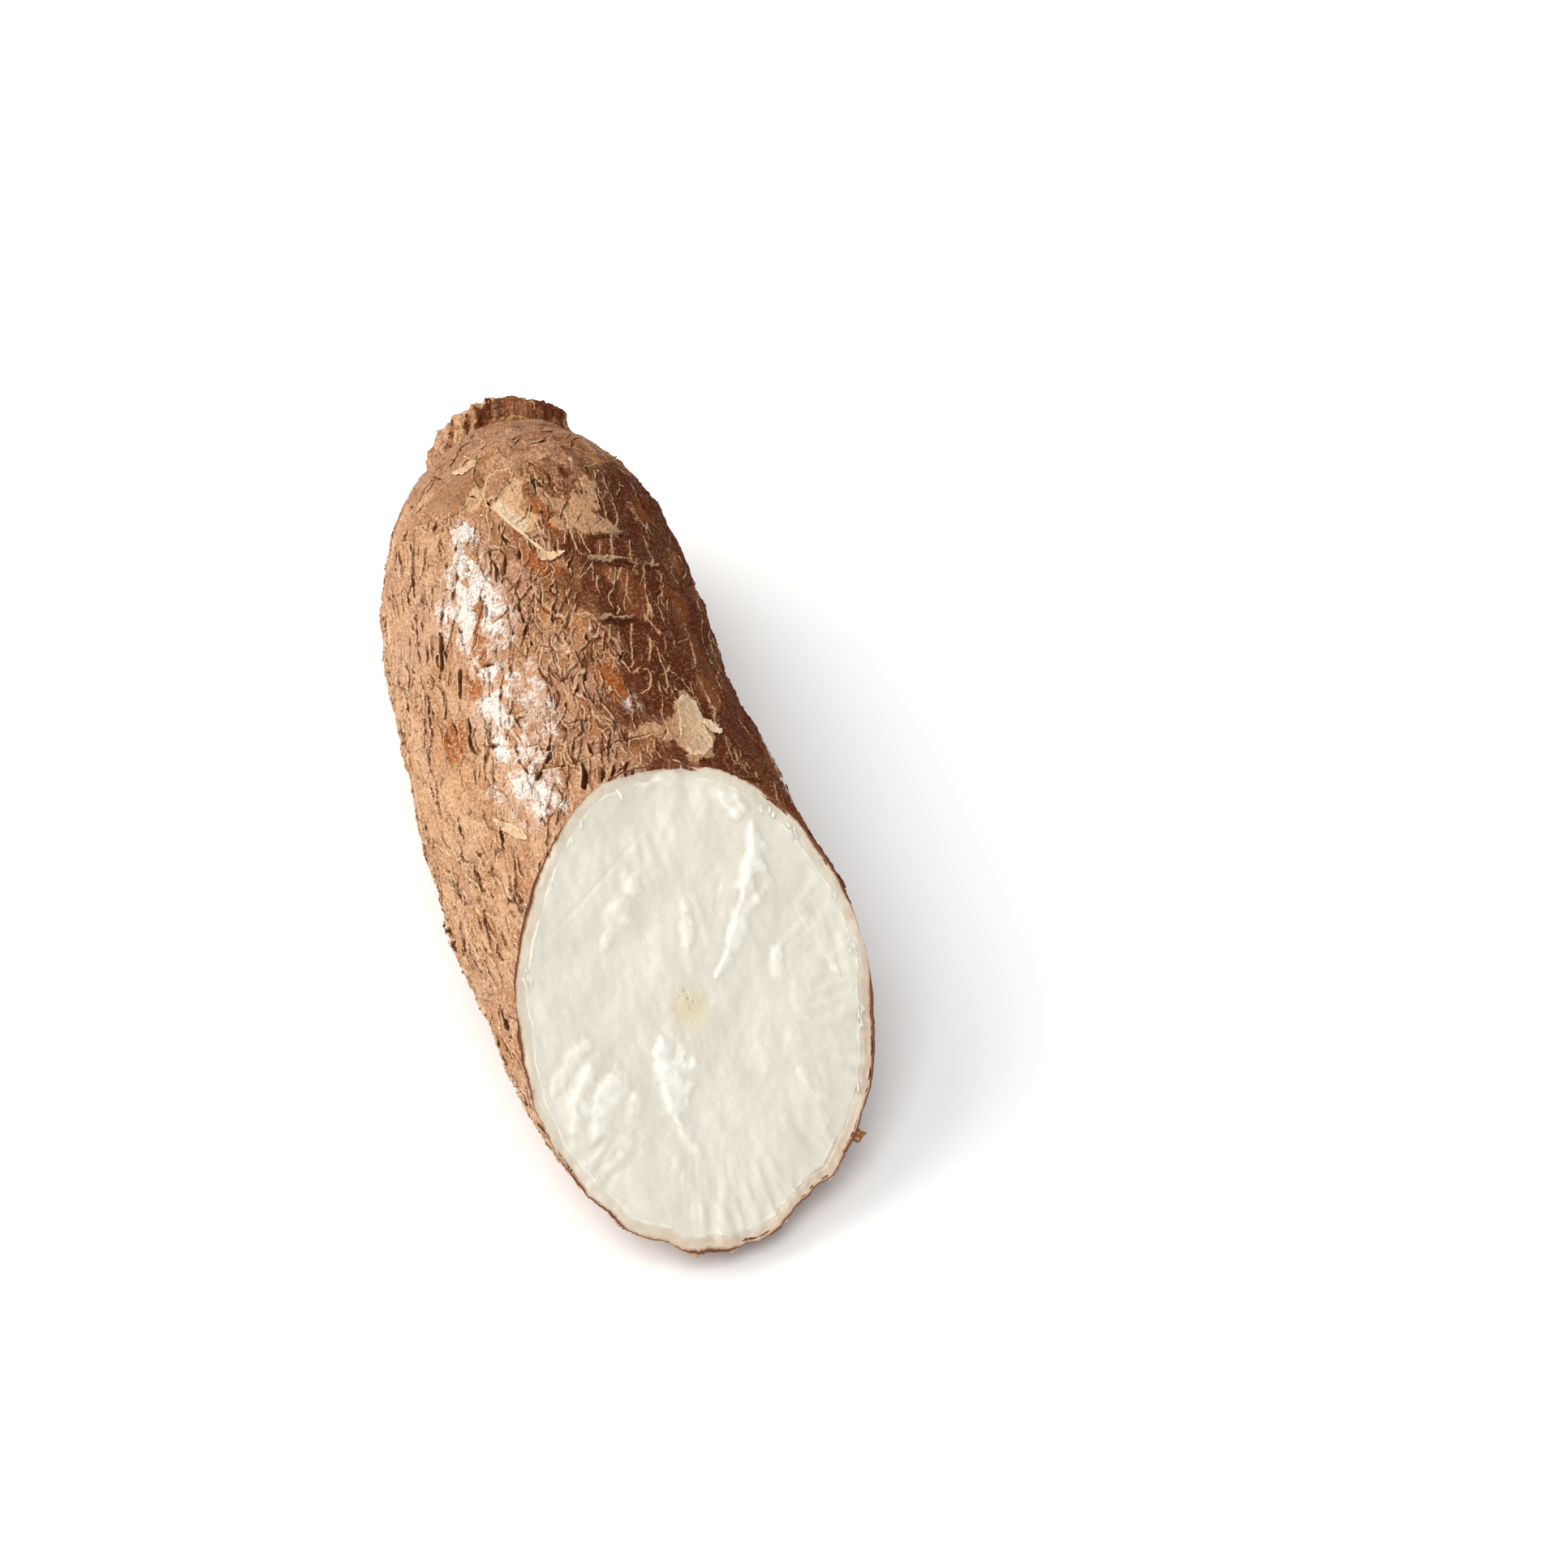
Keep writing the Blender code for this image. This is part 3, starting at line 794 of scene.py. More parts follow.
RADIUS = radius_map()
stem_radius = np.interp(np.arange(RADIUS_BEARINGS) * 360.0 / RADIUS_BEARINGS, *zip(*STEM_RADIUS))
towards_body = ease(np.arange(len(RADIUS)) * RADIUS_STEP, 4.0, 10.5)[:, None]
RADIUS = stem_radius + (RADIUS - stem_radius) * towards_body


def radius(turn, along):
    """The body's radius at bearings given in turns of a whole circle."""
    return between(RADIUS, turn * RADIUS_BEARINGS, along / RADIUS_STEP, True)


def on_bark(turn, along, reach):
    """Points at this reach from the middle line."""
    x, z = middle(along)
    x = x + NECK_SHIFT * ease(along, 12.0, 5.0)
    angle = 2 * math.pi * turn
    return np.stack([x + reach * np.cos(angle), NECK_Y - along, z + reach * np.sin(angle)], -1)


# ---------------------------------------------------------------- the bark's points

STRIPS = 6  # the bark is made in this many strips, so that each stays light
STRIP_COLUMNS = 146
COLUMNS = STRIPS * STRIP_COLUMNS
BARK_ROWS = 650
RELIEF, MARKS = bark_maps()
turns = np.arange(COLUMNS) / COLUMNS


def rim_distance(start=60.0, step=0.25):
    """How far along the root the slice lies at each bearing, searched for in small steps."""
    along = np.arange(start, LENGTH, step)[:, None] + 0 * turns
    turn = turns + 0 * along
    beyond = on_bark(turn, along, radius(turn, along)) @ SLICE_NORMAL - SLICE_OFFSET
    last = (beyond > 0).argmax(0) - 1
    columns = np.arange(COLUMNS)
    near = beyond[last, columns]
    far = beyond[last + 1, columns]
    return along[last, 0] + step * near / (near - far)


def bell(degrees, spread):
    """A bell over the bearings of the bark's columns."""
    return bump((turns * 360.0 - degrees + 180.0) % 360.0 - 180.0, 0.0, spread)


def blurred_ring(rng, count, spread):
    """Random numbers round a ring, blurred by a bell of this spread."""
    return smooth(rng.standard_normal((1, count)), spread, 1, True)[0]


def ring_noise(seed, spread):
    """Noise of unit spread round the root; the spread is in columns."""
    line = blurred_ring(np.random.default_rng(seed), COLUMNS, spread)
    return line / line.std()


RIM_CHIPS = (  # chips out of the slice's rim: bearing, depth, and half width in degrees
    (292.0, 1.2, 9.0), (301.0, 0.5, 3.0), (268.0, 0.4, 3.0), (236.0, 0.5, 5.0), (216.0, 0.3, 4.0),
    (325.0, 0.3, 4.0),
)  # fmt: skip

# Where the bark begins at the neck and ends at the slice, and how far its rim is worn.
rim_along = rim_distance()
neck_along = -0.4 + 0.25 * ring_noise(71, 30.0) + 0.10 * ring_noise(72, 12.0) + 0.03 * ring_noise(73, 3.0)
neck_along = neck_along + 0.5 * bell(112.0, 5.0) + 3.2 * bell(10.0, 30.0)
rim_shape = 0.05 * ring_noise(74, 9.0) + 0.03 * ring_noise(75, 2.5)
for degrees, depth, width in RIM_CHIPS:
    rim_shape = rim_shape - depth * bell(degrees, width)
rim_shape = rim_shape + 0.75 * bell(101.0, 20.0)


def bark_points():
    """Rows of points from the neck to the slice's rim, with their places along the root."""
    share = np.linspace(0.0, 1.0, BARK_ROWS)[:, None]
    along = neck_along + (rim_along - neck_along) * share
    turn = turns + 0 * along
    to_rim = rim_along - along
    lift = look_up(RELIEF, turn * GIRTH, along, True) * (0.25 + 0.75 * ease(to_rim, 0.2, 1.6))
    lift = lift + rim_shape * np.exp(-to_rim / 2.5)
    outward = np.stack([np.cos(2 * np.pi * turn), 0 * turn, np.sin(2 * np.pi * turn)], -1)
    lean = outward @ SLICE_NORMAL
    in_plane = (outward - lean[..., None] * SLICE_NORMAL) / (1.0 - lean**2)[..., None]
    near_rim = bump(to_rim, 0.0, 1.5)[..., None]
    points = on_bark(turn, along, radius(turn, along))
    points = points + lift[..., None] * (outward * (1 - near_rim) + in_plane * near_rim)
    points[..., 2] = np.maximum(points[..., 2], 0.0)
    return points, along


BARK_POINTS, BARK_ALONG = bark_points()
rim_points = BARK_POINTS[-1]
neck_points = BARK_POINTS[0]


def above_bark(u, v, height):
    """Points this far above the finished bark, from places on its map."""
    turn = u / GIRTH
    return on_bark(turn, v, radius(turn, v) + look_up(RELIEF, u, v, True) + height)


# ---------------------------------------------------------------- meshes


def new_mesh(name, points, closed=True, first_tip=None, last_tip=None):
    """A skin over rows of points, in millimetres. A tip closes the first or the last row."""
    rows, columns = points.shape[:2]
    index = np.arange(rows * columns).reshape(rows, columns)
    onward = np.roll(index, -1, 1)
    if not closed:
        index = index[:, :-1]
        onward = onward[:, :-1]
    corners = points.reshape(-1, 3)
    loops = [np.stack([index[:-1], onward[:-1], onward[1:], index[1:]], -1).ravel()]
    sizes = [np.full(index[:-1].size, 4)]
    if first_tip is not None:
        corners = np.vstack([corners, first_tip])
        loops.append(np.stack([index[0] * 0 + len(corners) - 1, onward[0], index[0]], -1).ravel())
        sizes.append(np.full(columns, 3))
    if last_tip is not None:
        corners = np.vstack([corners, last_tip])
        loops.append(np.stack([index[-1], onward[-1], index[-1] * 0 + len(corners) - 1], -1).ravel())
        sizes.append(np.full(columns, 3))
    loops = np.concatenate(loops)
    sizes = np.concatenate(sizes)
    mesh = bpy.data.meshes.new(name)
    mesh.vertices.add(len(corners))
    mesh.vertices.foreach_set("co", (corners * MM).ravel())
    mesh.loops.add(len(loops))
    mesh.loops.foreach_set("vertex_index", loops.astype(np.int32))
    mesh.polygons.add(len(sizes))
    mesh.polygons.foreach_set("loop_start", (np.cumsum(sizes) - sizes).astype(np.int32))
    mesh.update(calc_edges=True)
    return mesh


def paint(mesh, name, values):
    """Stores one number for each point, for the material to read. The last one fills the rest."""
    values = np.asarray(values, np.float32).ravel()
    values = np.pad(values, (0, len(mesh.vertices) - len(values)), mode="edge")
    mesh.attributes.new(name, "FLOAT", "POINT").data.foreach_set("value", values)


def unroll(mesh, u, v):
    """Gives the mesh a flat map from two numbers for each point, each from 0 to 1."""
    corners = np.empty(len(mesh.loops), np.int32)
    mesh.loops.foreach_get("vertex_index", corners)
    flat = np.stack([np.asarray(u).ravel(), np.asarray(v).ravel()], -1)
    flat = np.pad(flat, ((0, len(mesh.vertices) - len(flat)), (0, 0)), constant_values=0.5)
    layer = mesh.uv_layers.new(name="OFBake")
    layer.data.foreach_set("uv", flat[corners].astype(np.float32).ravel())


def new_object(name, data):
    """Puts a mesh, a light or a camera into the scene."""
    thing = bpy.data.objects.new(name, data)
    bpy.context.scene.collection.objects.link(thing)
    return thing


def new_piece(name, mesh, material):
    """One visible piece of the root, which moves with it."""
    mesh.name = name
    mesh.materials.clear()
    mesh.materials.append(material)
    mesh.shade_smooth()
    piece = new_object(name, mesh)
    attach(piece, "root")
    return piece


# ---------------------------------------------------------------- materials


def colour(code):
    """An sRGB hex value as the linear colour that shaders take."""
    parts = [int(code[k : k + 2], 16) / 255.0 for k in (1, 3, 5)]
    return tuple(c / 12.92 if c <= 0.04045 else ((c + 0.055) / 1.055) ** 2.4 for c in parts) + (1.0,)


def add(tree, kind, inputs=None, out=None, **settings):
    """Adds a node, gives it its settings, links or sets its inputs, and returns an output."""
    node = tree.nodes.new(kind)
    for name, value in settings.items():
        setattr(node, name, value)
    for key, value in (inputs or {}).items():
        if isinstance(key, str):
            socket = next(s for s in node.inputs if s.name == key and s.enabled)
        else:
            socket = node.inputs[key]
        if isinstance(value, bpy.types.NodeSocket):
            tree.links.new(value, socket)
        else:
            socket.default_value = value
    if out is not None:
        return node.outputs[out]
    return next((s for s in node.outputs if s.enabled), None)


def new_material(name):
    """An empty material and the tree to build it in."""
    material = bpy.data.materials.new(name)
    material.use_nodes = True
    material.node_tree.nodes.clear()
    return material, material.node_tree


def layered(tree, base, layers):
    """Lays colours over a base, each by a mask and a strength."""
    for mask, strength, code in layers:
        cover = add(tree, "ShaderNodeMath", {0: mask, 1: strength}, operation="MULTIPLY", use_clamp=True)
        base = add(
            tree, "ShaderNodeMix", {"Factor": cover, "A": base, "B": colour(code)}, data_type="RGBA"
        )
    return base


def masks(tree, noise, table):
    """Turns painted fields into masks with edges roughened by the noise.

    Each row of the table is the mask's name, its field, where it starts, where it is full and
    how much the noise moves its edge.
    """
    found = {}
    for name, field, start, full, rough in table:
        value = add(tree, "ShaderNodeAttribute", attribute_name=field, out="Fac")
        shaken = add(
            tree, "ShaderNodeMath", {0: noise, 1: rough, 2: value}, operation="MULTIPLY_ADD"
        )
        found[name] = add(
            tree,
            "ShaderNodeMapRange",
            {"Value": shaken, "From Min": start + rough / 2, "From Max": full + rough / 2},
            interpolation_type="SMOOTHSTEP",
        )
    return found


def noises(tree, table):
    """Noise patterns on the piece: name, size in millimetres, detail, stretch along Y, low, high."""
    place = add(tree, "ShaderNodeTexCoord", out="Object")
    found = {}
    for name, size, detail, stretch, low, high in table:
        mapped = add(tree, "ShaderNodeMapping", {"Vector": place, "Scale": (1.0, 1.0 / stretch, 1.0)})
        noise = add(
            tree,
            "ShaderNodeTexNoise",
            {"Vector": mapped, "Scale": 0.6 / (size * MM), "Detail": detail, "Roughness": 0.6},
        )
        found[name] = add(
            tree,
            "ShaderNodeMapRange",
            {"Value": noise, "From Min": low, "From Max": high},
            interpolation_type="SMOOTHSTEP",
        )
    return found


def bark_material():
    """Cassava periderm: dry cork that flakes. It gives a matt, grainy brown with pale edges."""
    material, tree = new_material("cassava_cork_bark")
    noise = noises(
        tree,
        (
            ("fine", 0.16, 1.0, 1.0, 0.25, 0.75),
            ("pits", 0.30, 1.5, 1.3, 0.46, 0.34),
            ("grains", 0.28, 1.0, 1.2, 0.53, 0.64),
            ("streak", 0.7, 3.0, 7.0, 0.42, 0.66),
            ("cloud", 6.0, 3.0, 1.6, 0.40, 0.64),
        ),
    )
    mask = masks(
        tree,
        noise["fine"],
        (
            ("mid", "brown", 0.0, 0.40, 0.12),
            ("dark", "brown", 0.36, 0.78, 0.12),
            ("rusty plate", "plate", 0.40, 0.05, 0.1),
            ("grey", "grey", 0.1, 0.9, 0.2),
            ("orange", "orange", -1.0, 1.0, 0.5),
            ("tan", "tan", -0.12, 0.18, 0.5),
            ("thin wax and highlight", "wax_and_highlight", -1.0, 0.4, 0.6),
            ("wax_and_highlight", "wax_and_highlight", 0.0, 0.8, 0.9),
            ("hollow", "hollow", 0.2, 0.8, 0.2),
            ("near seam", "seam", 1.2, 0.0, 0.6),
            ("seam", "seam", 0.12, -0.02, 0.12),
            ("scar", "scar", 0.10, -0.08, 0.2),
            ("join", "join", 0.2, 0.0, 0.12),
            ("chip", "chip", 0.16, 0.0, 0.12),
            ("over", "overlap", 0.15, 0.55, 0.2),
            ("under", "overlap", -0.15, -0.55, 0.2),
            ("beside", "split", 0.45, 0.0, 0.12),
            ("lip", "split", 0.30, 0.08, 0.10),
            ("raised", "curl", 0.1, 0.6, 0.0),
            ("sunk", "curl", 0.0, -0.6, 0.0),
            ("split", "split", 0.11, -0.02, 0.08),
            ("deep", "split", 0.0, -0.12, 0.04),
            ("cream", "cream", -0.05, 0.08, 0.2),
            ("stub", "stub", 0.3, 0.9, 0.4),
            ("sheen", "sheen", 0.0, 1.0, 0.3),
        ),
    )
    dusty = add(tree, "ShaderNodeMath", {0: noise["grains"], 1: mask["near seam"]}, operation="MULTIPLY")
    worn = add(tree, "ShaderNodeMath", {0: noise["pits"], 1: mask["split"]}, operation="MAXIMUM")
    kept = add(tree, "ShaderNodeMapRange", {"Value": worn, "To Min": 1.0, "To Max": 0.35})
    bloom_and_highlight = add(tree, "ShaderNodeMath", {0: mask["wax_and_highlight"], 1: kept}, operation="MULTIPLY")
    lip = add(tree, "ShaderNodeMath", {0: mask["lip"], 1: mask["raised"]}, operation="MULTIPLY")
    lit = add(tree, "ShaderNodeMapRange", {"Value": mask["dark"], "To Min": 1.0, "To Max": 0.22})
    calm = add(tree, "ShaderNodeMapRange", {"Value": mask["grey"], "To Min": 1.0, "To Max": 0.4})
    lit_calm = add(tree, "ShaderNodeMath", {0: lit, 1: calm}, operation="MULTIPLY")
    grains = add(tree, "ShaderNodeMath", {0: noise["grains"], 1: lit_calm}, operation="MULTIPLY")
    over = add(tree, "ShaderNodeMath", {0: mask["over"], 1: lit}, operation="MULTIPLY")
    cloudy = {0: noise["cloud"], 1: mask["dark"]}
    pale = add(tree, "ShaderNodeMath", cloudy, operation="SUBTRACT", use_clamp=True)
    shade = add(tree, "ShaderNodeMath", {0: mask["beside"], 1: mask["sunk"]}, operation="MULTIPLY")
    speck = add(tree, "ShaderNodeMath", {0: noise["pits"], 1: mask["cream"]}, operation="MULTIPLY")
    base = layered(
        tree,
        colour("#dfb28a"),
        (
            # Mid and dark brown follow the brown mark: partly the bark's own colour, partly painted shade
            # on its darker right side.
            (mask["mid"], 1.0, "#b67b4e"),
            (mask["dark"], 1.0, "#582209"),
            (mask["rusty plate"], 0.45, "#a8602f"),
            (pale, 0.42, "#c8a08a"),
            (noise["streak"], 0.20, "#84481e"),
            (mask["grey"], 0.55, "#a2775a"),
            (mask["orange"], 0.82, "#a8581e"),
            (mask["tan"], 0.72, "#d8a97e"),
            # Thin waxy bloom and fainter painted highlight.
            (mask["thin wax and highlight"], 0.55, "#dfc0ac"),
            (noise["pits"], 0.40, "#6a340f"),
            (grains, 0.50, "#f4d2ac"),
            (dusty, 0.3, "#dcac7c"),
            # Painted shadow below the flaky ledges.
            (mask["hollow"], 0.50, "#341505"),
            (shade, 0.45, "#74401c"),
            (mask["chip"], 0.50, "#78401a"),
            (mask["join"], 0.50, "#733b17"),
            # Painted shadow under the overlapping scales' edges. The pale edges of the scales above them
            # and of the slits' lifted lips are partly the bark's own paler edge and partly painted
            # highlight.
            (mask["under"], 0.85, "#67300f"),
            (over, 0.80, "#f2cfa8"),
            (lip, 0.85, "#f4d0a8"),
            (mask["seam"], 0.90, "#e0b088"),
            (mask["scar"], 0.90, "#c2a080"),
            (mask["cream"], 0.9, "#dcb48a"),
            (mask["sheen"], 0.7, "#ead6b8"),
            (speck, 0.45, "#a8723f"),
            (mask["stub"], 0.9, "#c99a62"),
            (mask["split"], 0.90, "#5e2c10"),
            (mask["deep"], 0.80, "#451f0a"),
            # White waxy bloom and painted highlight along the top of the root, broken by pits and slits.
            (bloom_and_highlight, 0.95, "#f6ebe0"),
        ),
    )
    roughness = add(tree, "ShaderNodeMapRange", {"Value": bloom_and_highlight, "To Min": 0.70, "To Max": 0.42})
    grainy = {0: noise["grains"], 1: 0.6, 2: noise["fine"]}
    height = add(tree, "ShaderNodeMath", grainy, operation="MULTIPLY_ADD")
    height = add(tree, "ShaderNodeMath", {0: height, 1: noise["pits"]}, operation="SUBTRACT")
    bumpy = add(tree, "ShaderNodeBump", {"Strength": 0.8, "Distance": 0.2 * MM, "Height": height})
    shader = add(
        tree,
        "ShaderNodeBsdfPrincipled",
        {
            "Base Color": base,
            "Roughness": roughness,
            "IOR": 1.2,
            "Specular IOR Level": 0.3,
            "Normal": bumpy,
        },
    )
    add(tree, "ShaderNodeOutputMaterial", {"Surface": shader})
    return material


def flesh_material():
    """Raw cassava: wet starch, dense and white, with a faint waxy depth under the light."""
    material, tree = new_material("raw_starchy_flesh")
    noise = noises(
        tree,
        (
            ("fine", 0.5, 2.0, 1.0, 0.3, 0.7),
            ("fleck", 0.45, 1.0, 1.0, 0.62, 0.72),
            ("cloud", 8.0, 2.0, 1.0, 0.38, 0.62),
            ("patch", 3.0, 2.0, 1.0, 0.35, 0.65),
        ),
    )
    mask = masks(
        tree,
        noise["fine"],
        (
            ("core", "core", 0.0, 1.0, 0.1),
            ("pore", "pore", 0.3, 0.8, 0.1),
            ("cortex", "inset", 2.5, 1.2, 0.3),
            ("cambium", "cambium", 0.3, 0.9, 0.3),
            ("pink", "pink", 0.0, 1.0, 0.3),
            ("peel", "inset", 0.55, 0.3, 0.25),
            ("skin", "inset", 0.3, 0.1, 0.1),
            ("ridge", "ridge", 0.1, 0.8, 0.2),
        ),
    )
    blush = add(tree, "ShaderNodeMath", {0: mask["cortex"], 1: mask["pink"]}, operation="MULTIPLY")
    base = layered(
        tree,
        colour("#e0dccf"),
        (
            (noise["cloud"], 0.5, "#dad4c3"),
            (noise["fleck"], 0.3, "#ebe8de"),
            # Torn ridges painted whiter where they stand highest: a painted highlight. The cambium's
            # crumbs take the same white as their own colour.
            (mask["ridge"], 0.7, "#f0eee5"),
            (mask["core"], 0.5, "#d9c794"),
            (mask["pore"], 0.7, "#8b7746"),
            (mask["cortex"], 0.45, "#d4c2a8"),
            (blush, 0.5, "#c6a58a"),
            (mask["cambium"], 0.6, "#efe6d0"),
            (mask["peel"], 0.75, "#b98e6c"),
            (mask["skin"], 0.95, "#6e3a20"),
        ),
    )
    bumpy = add(tree, "ShaderNodeBump", {"Strength": 0.2, "Distance": 0.1 * MM, "Height": noise["fine"]})
    shader = add(
        tree,
        "ShaderNodeBsdfPrincipled",
        {
            "Base Color": base,
            "Roughness": 0.40,
            "IOR": 1.4,
            "Subsurface Weight": 0.3,
            "Subsurface Radius": (1.0, 0.75, 0.45),
            "Subsurface Scale": 1.5 * MM,
            "Normal": bumpy,
        },
    )
    add(tree, "ShaderNodeOutputMaterial", {"Surface": shader})
    return material


def wood_material():
    """Dried stem wood at the break: fibrous, pale inside and grey-brown where it has aged."""
    material, tree = new_material("dried_stem_wood")
    noise = noises(
        tree,
        (
            ("fibre", 0.4, 3.0, 1.0, 0.56, 0.40),
            ("fine", 0.2, 1.0, 1.0, 0.3, 0.7),
            ("cloud", 3.0, 3.0, 1.0, 0.36, 0.64),
        ),
    )
    mask = masks(tree, noise["fine"], (("crack", "crack", 0.3, 0.9, 0.3), ("edge", "edge", 0.2, 0.8, 0.4)))
    base = layered(
        tree,
        colour("#c9a379"),
        (
            (noise["cloud"], 0.7, "#9a7150"),
            (noise["fibre"], 0.6, "#6d4529"),
            (mask["crack"], 0.85, "#3a2013"),
            (mask["edge"], 0.7, "#e0c298"),
        ),
    )
    bumpy = add(tree, "ShaderNodeBump", {"Strength": 0.6, "Distance": 0.2 * MM, "Height": noise["fibre"]})
    shader = add(
        tree,
        "ShaderNodeBsdfPrincipled",
        {"Base Color": base, "Roughness": 0.8, "IOR": 1.2, "Normal": bumpy},
    )
    add(tree, "ShaderNodeOutputMaterial", {"Surface": shader})
    return material


def flake_material():
    """Loose scales of dry cork: thin and papery, paler where they have bleached."""
    material, tree = new_material("papery_cork_scale")
    noise = noises(
        tree,
        (
            ("fine", 0.18, 1.0, 1.0, 0.3, 0.7),
            ("pits", 0.32, 1.5, 1.3, 0.46, 0.34),
            ("grains", 0.28, 1.0, 1.2, 0.54, 0.68),
            ("cloud", 2.4, 3.0, 1.6, 0.38, 0.64),
        ),
    )
    mask = masks(tree, noise["fine"], (("tone", "tone", 0.0, 1.0, 0.1), ("edge", "edge", 0.55, 0.95, 0.2)))
    base = layered(
        tree,
        colour("#e8d0ac"),
        (
            (mask["tone"], 1.0, "#8e5631"),
            (noise["cloud"], 0.25, "#c59463"),
            (noise["pits"], 0.35, "#7a4a2a"),
            (noise["grains"], 0.35, "#f1d9b8"),
            (mask["edge"], 0.6, "#ecd2ae"),
        ),
    )
    bumpy = add(tree, "ShaderNodeBump", {"Strength": 0.4, "Distance": 0.1 * MM, "Height": noise["grains"]})
    shader = add(
        tree,
        "ShaderNodeBsdfPrincipled",
        {"Base Color": base, "Roughness": 0.7, "IOR": 1.2, "Normal": bumpy},
    )
    add(tree, "ShaderNodeOutputMaterial", {"Surface": shader})
    return material


BARK = bark_material()
FLESH = flesh_material()
WOOD = wood_material()
FLAKE = flake_material()

# ---------------------------------------------------------------- pieces


def bark_pieces():
    """The bark, in strips from neck to slice that share their edges and shading.

    Both ends are tucked in behind the flesh and the break, so that no gap shows.
    """
    tuck = rim_points - SLICE_NORMAL * 0.1 + (rim_points.mean(0) - rim_points) * 0.02
    neck_tuck = neck_points + (neck_points.mean(0) - neck_points) * 0.04 + (0.0, -0.1, 0.0)
    points = np.concatenate([neck_tuck[None], BARK_POINTS, tuck[None]])
    along = np.concatenate([BARK_ALONG[:1], BARK_ALONG, BARK_ALONG[-1:]])
    u = (turns + 0 * along) * GIRTH
    onward = np.roll(points, -1, 1) - np.roll(points, 1, 1)
    downward = np.gradient(points, axis=0)
    normals = np.cross(onward, downward)
    normals = normals / np.linalg.norm(normals, axis=-1, keepdims=True)
    marks = {name: look_up(field, u, along, True) for name, field in MARKS.items()}
    share = np.linspace(0.0, 1.0, len(points))[:, None] * np.ones((1, STRIP_COLUMNS + 1))
    across = np.linspace(0.0, 1.0, STRIP_COLUMNS + 1) * np.ones((len(points), 1))
    pieces = []
    for k in range(STRIPS):
        columns = (np.arange(STRIP_COLUMNS + 1) + k * STRIP_COLUMNS) % COLUMNS
        mesh = new_mesh("bark", points[:, columns], closed=False)
        for name, values in marks.items():
            paint(mesh, name, values[:, columns])
        unroll(mesh, across, share)
        pieces.append(new_piece(f"bark_strip_{k + 1}", mesh, BARK))
        mesh.normals_split_custom_set_from_vertices(normals[:, columns].reshape(-1, 3))
    return pieces


# The slice's own map.
ACROSS_AXIS = np.cross(SLICE_NORMAL, (0.0, 0.0, 1.0))
ACROSS_AXIS = ACROSS_AXIS / np.linalg.norm(ACROSS_AXIS) * np.sign(ACROSS_AXIS[0])
UP_AXIS = np.cross(SLICE_NORMAL, ACROSS_AXIS)
UP_AXIS = UP_AXIS * np.sign(UP_AXIS[2])
SLICE_MIDDLE = np.array([-1.684, -59.12, 28.33])  # the point that the slice's map is centred on
FLESH_SIZE = 96.0  # width and height of the slice's map
FLESH_SHAPE = (round(FLESH_SIZE / CELL), round(FLESH_SIZE / CELL))
FLESH_STEP = 2  # one flesh column for this many bark columns
FLESH_RINGS = 215
FLESH_REACH = 28.0  # the rings are spaced as if the rim lay this far from the middle
EDGE_RINGS = 40  # this many of the rings lie close together along the rim
EDGE_BAND = 3.2  # width of the band that those take up
RIND = 2.1  # thickness of the cortex under the peel
PITH = (-0.5, 4.3)  # where the woody core comes through the slice

# Dark pores in the core: across and up from the pith, and radius.
PORES = (
    (0.4, 1.9, 0.20),
    (-0.6, 1.2, 0.15),
    (0.5, 0.5, 0.25),
    (1.2, -0.2, 0.20),
    (0.3, -1.0, 0.18),
)

# Ridges and lumps that the knife tore up: points across and up the slice, half widths, height.
RIDGES = (
    (((19.2, 26.5), (17.4, 22.0), (15.2, 18.5), (13.3, 15.6)), (0.5, 1.0, 0.9, 1.3, 0.8), 0.65),
    (((13.3, 15.6), (11.0, 12.5), (8.5, 9.0), (5.5, 6.5)), (1.2, 0.9, 0.7, 0.3), 0.4),
    (((-6.9, -1.5), (-7.7, -4.5), (-8.4, -8.0), (-8.2, -12.0)), (1.1, 1.9, 1.6, 1.0, 0.6), 0.6),
    (((-8.4, -10.0), (-7.8, -13.5), (-7.5, -17.0)), (1.0, 1.2, 0.6), 0.25),
    (((-15.5, -1.5), (-18.0, -4.0), (-20.5, -7.5)), (1.2, 1.6, 1.0), 0.4),
    (((-19.0, 0.5), (-22.0, -3.0), (-24.0, -7.0)), (0.9, 1.4, 0.8), 0.36),
    (((-17.5, 4.5), (-21.0, 3.0), (-24.5, 0.0)), (0.6, 0.9, 0.5), 0.25),
    (((-13.0, -5.5), (-15.5, -9.0), (-18.0, -12.0)), (0.7, 1.1, 0.7), 0.25),
    (((4.3, 18.2), (3.4, 15.0), (2.5, 12.6)), (0.6, 0.9, 0.6), 0.3),
    (((-1.0, 25.0), (-6.0, 21.0), (-9.5, 17.0)), (0.8, 1.2, 0.6), 0.22),
    (((16.0, 6.2), (14.6, 4.2)), (0.9, 0.8), 0.3),
    (((15.8, 31.2), (16.4, 28.6)), (0.6, 0.8), 0.4),
    (((17.9, 30.4), (18.4, 28.4)), (0.5, 0.6), 0.35),
    (((10.2, 37.2), (7.8, 37.4)), (0.7, 0.9), 0.4),
    (((21.5, 10.5), (23.3, 6.0), (23.8, 0.5)), (0.5, 0.8, 0.4), 0.18),
    (((12.5, -12.0), (13.8, -17.0), (13.4, -22.0)), (0.6, 0.9, 0.4), 0.2),
)


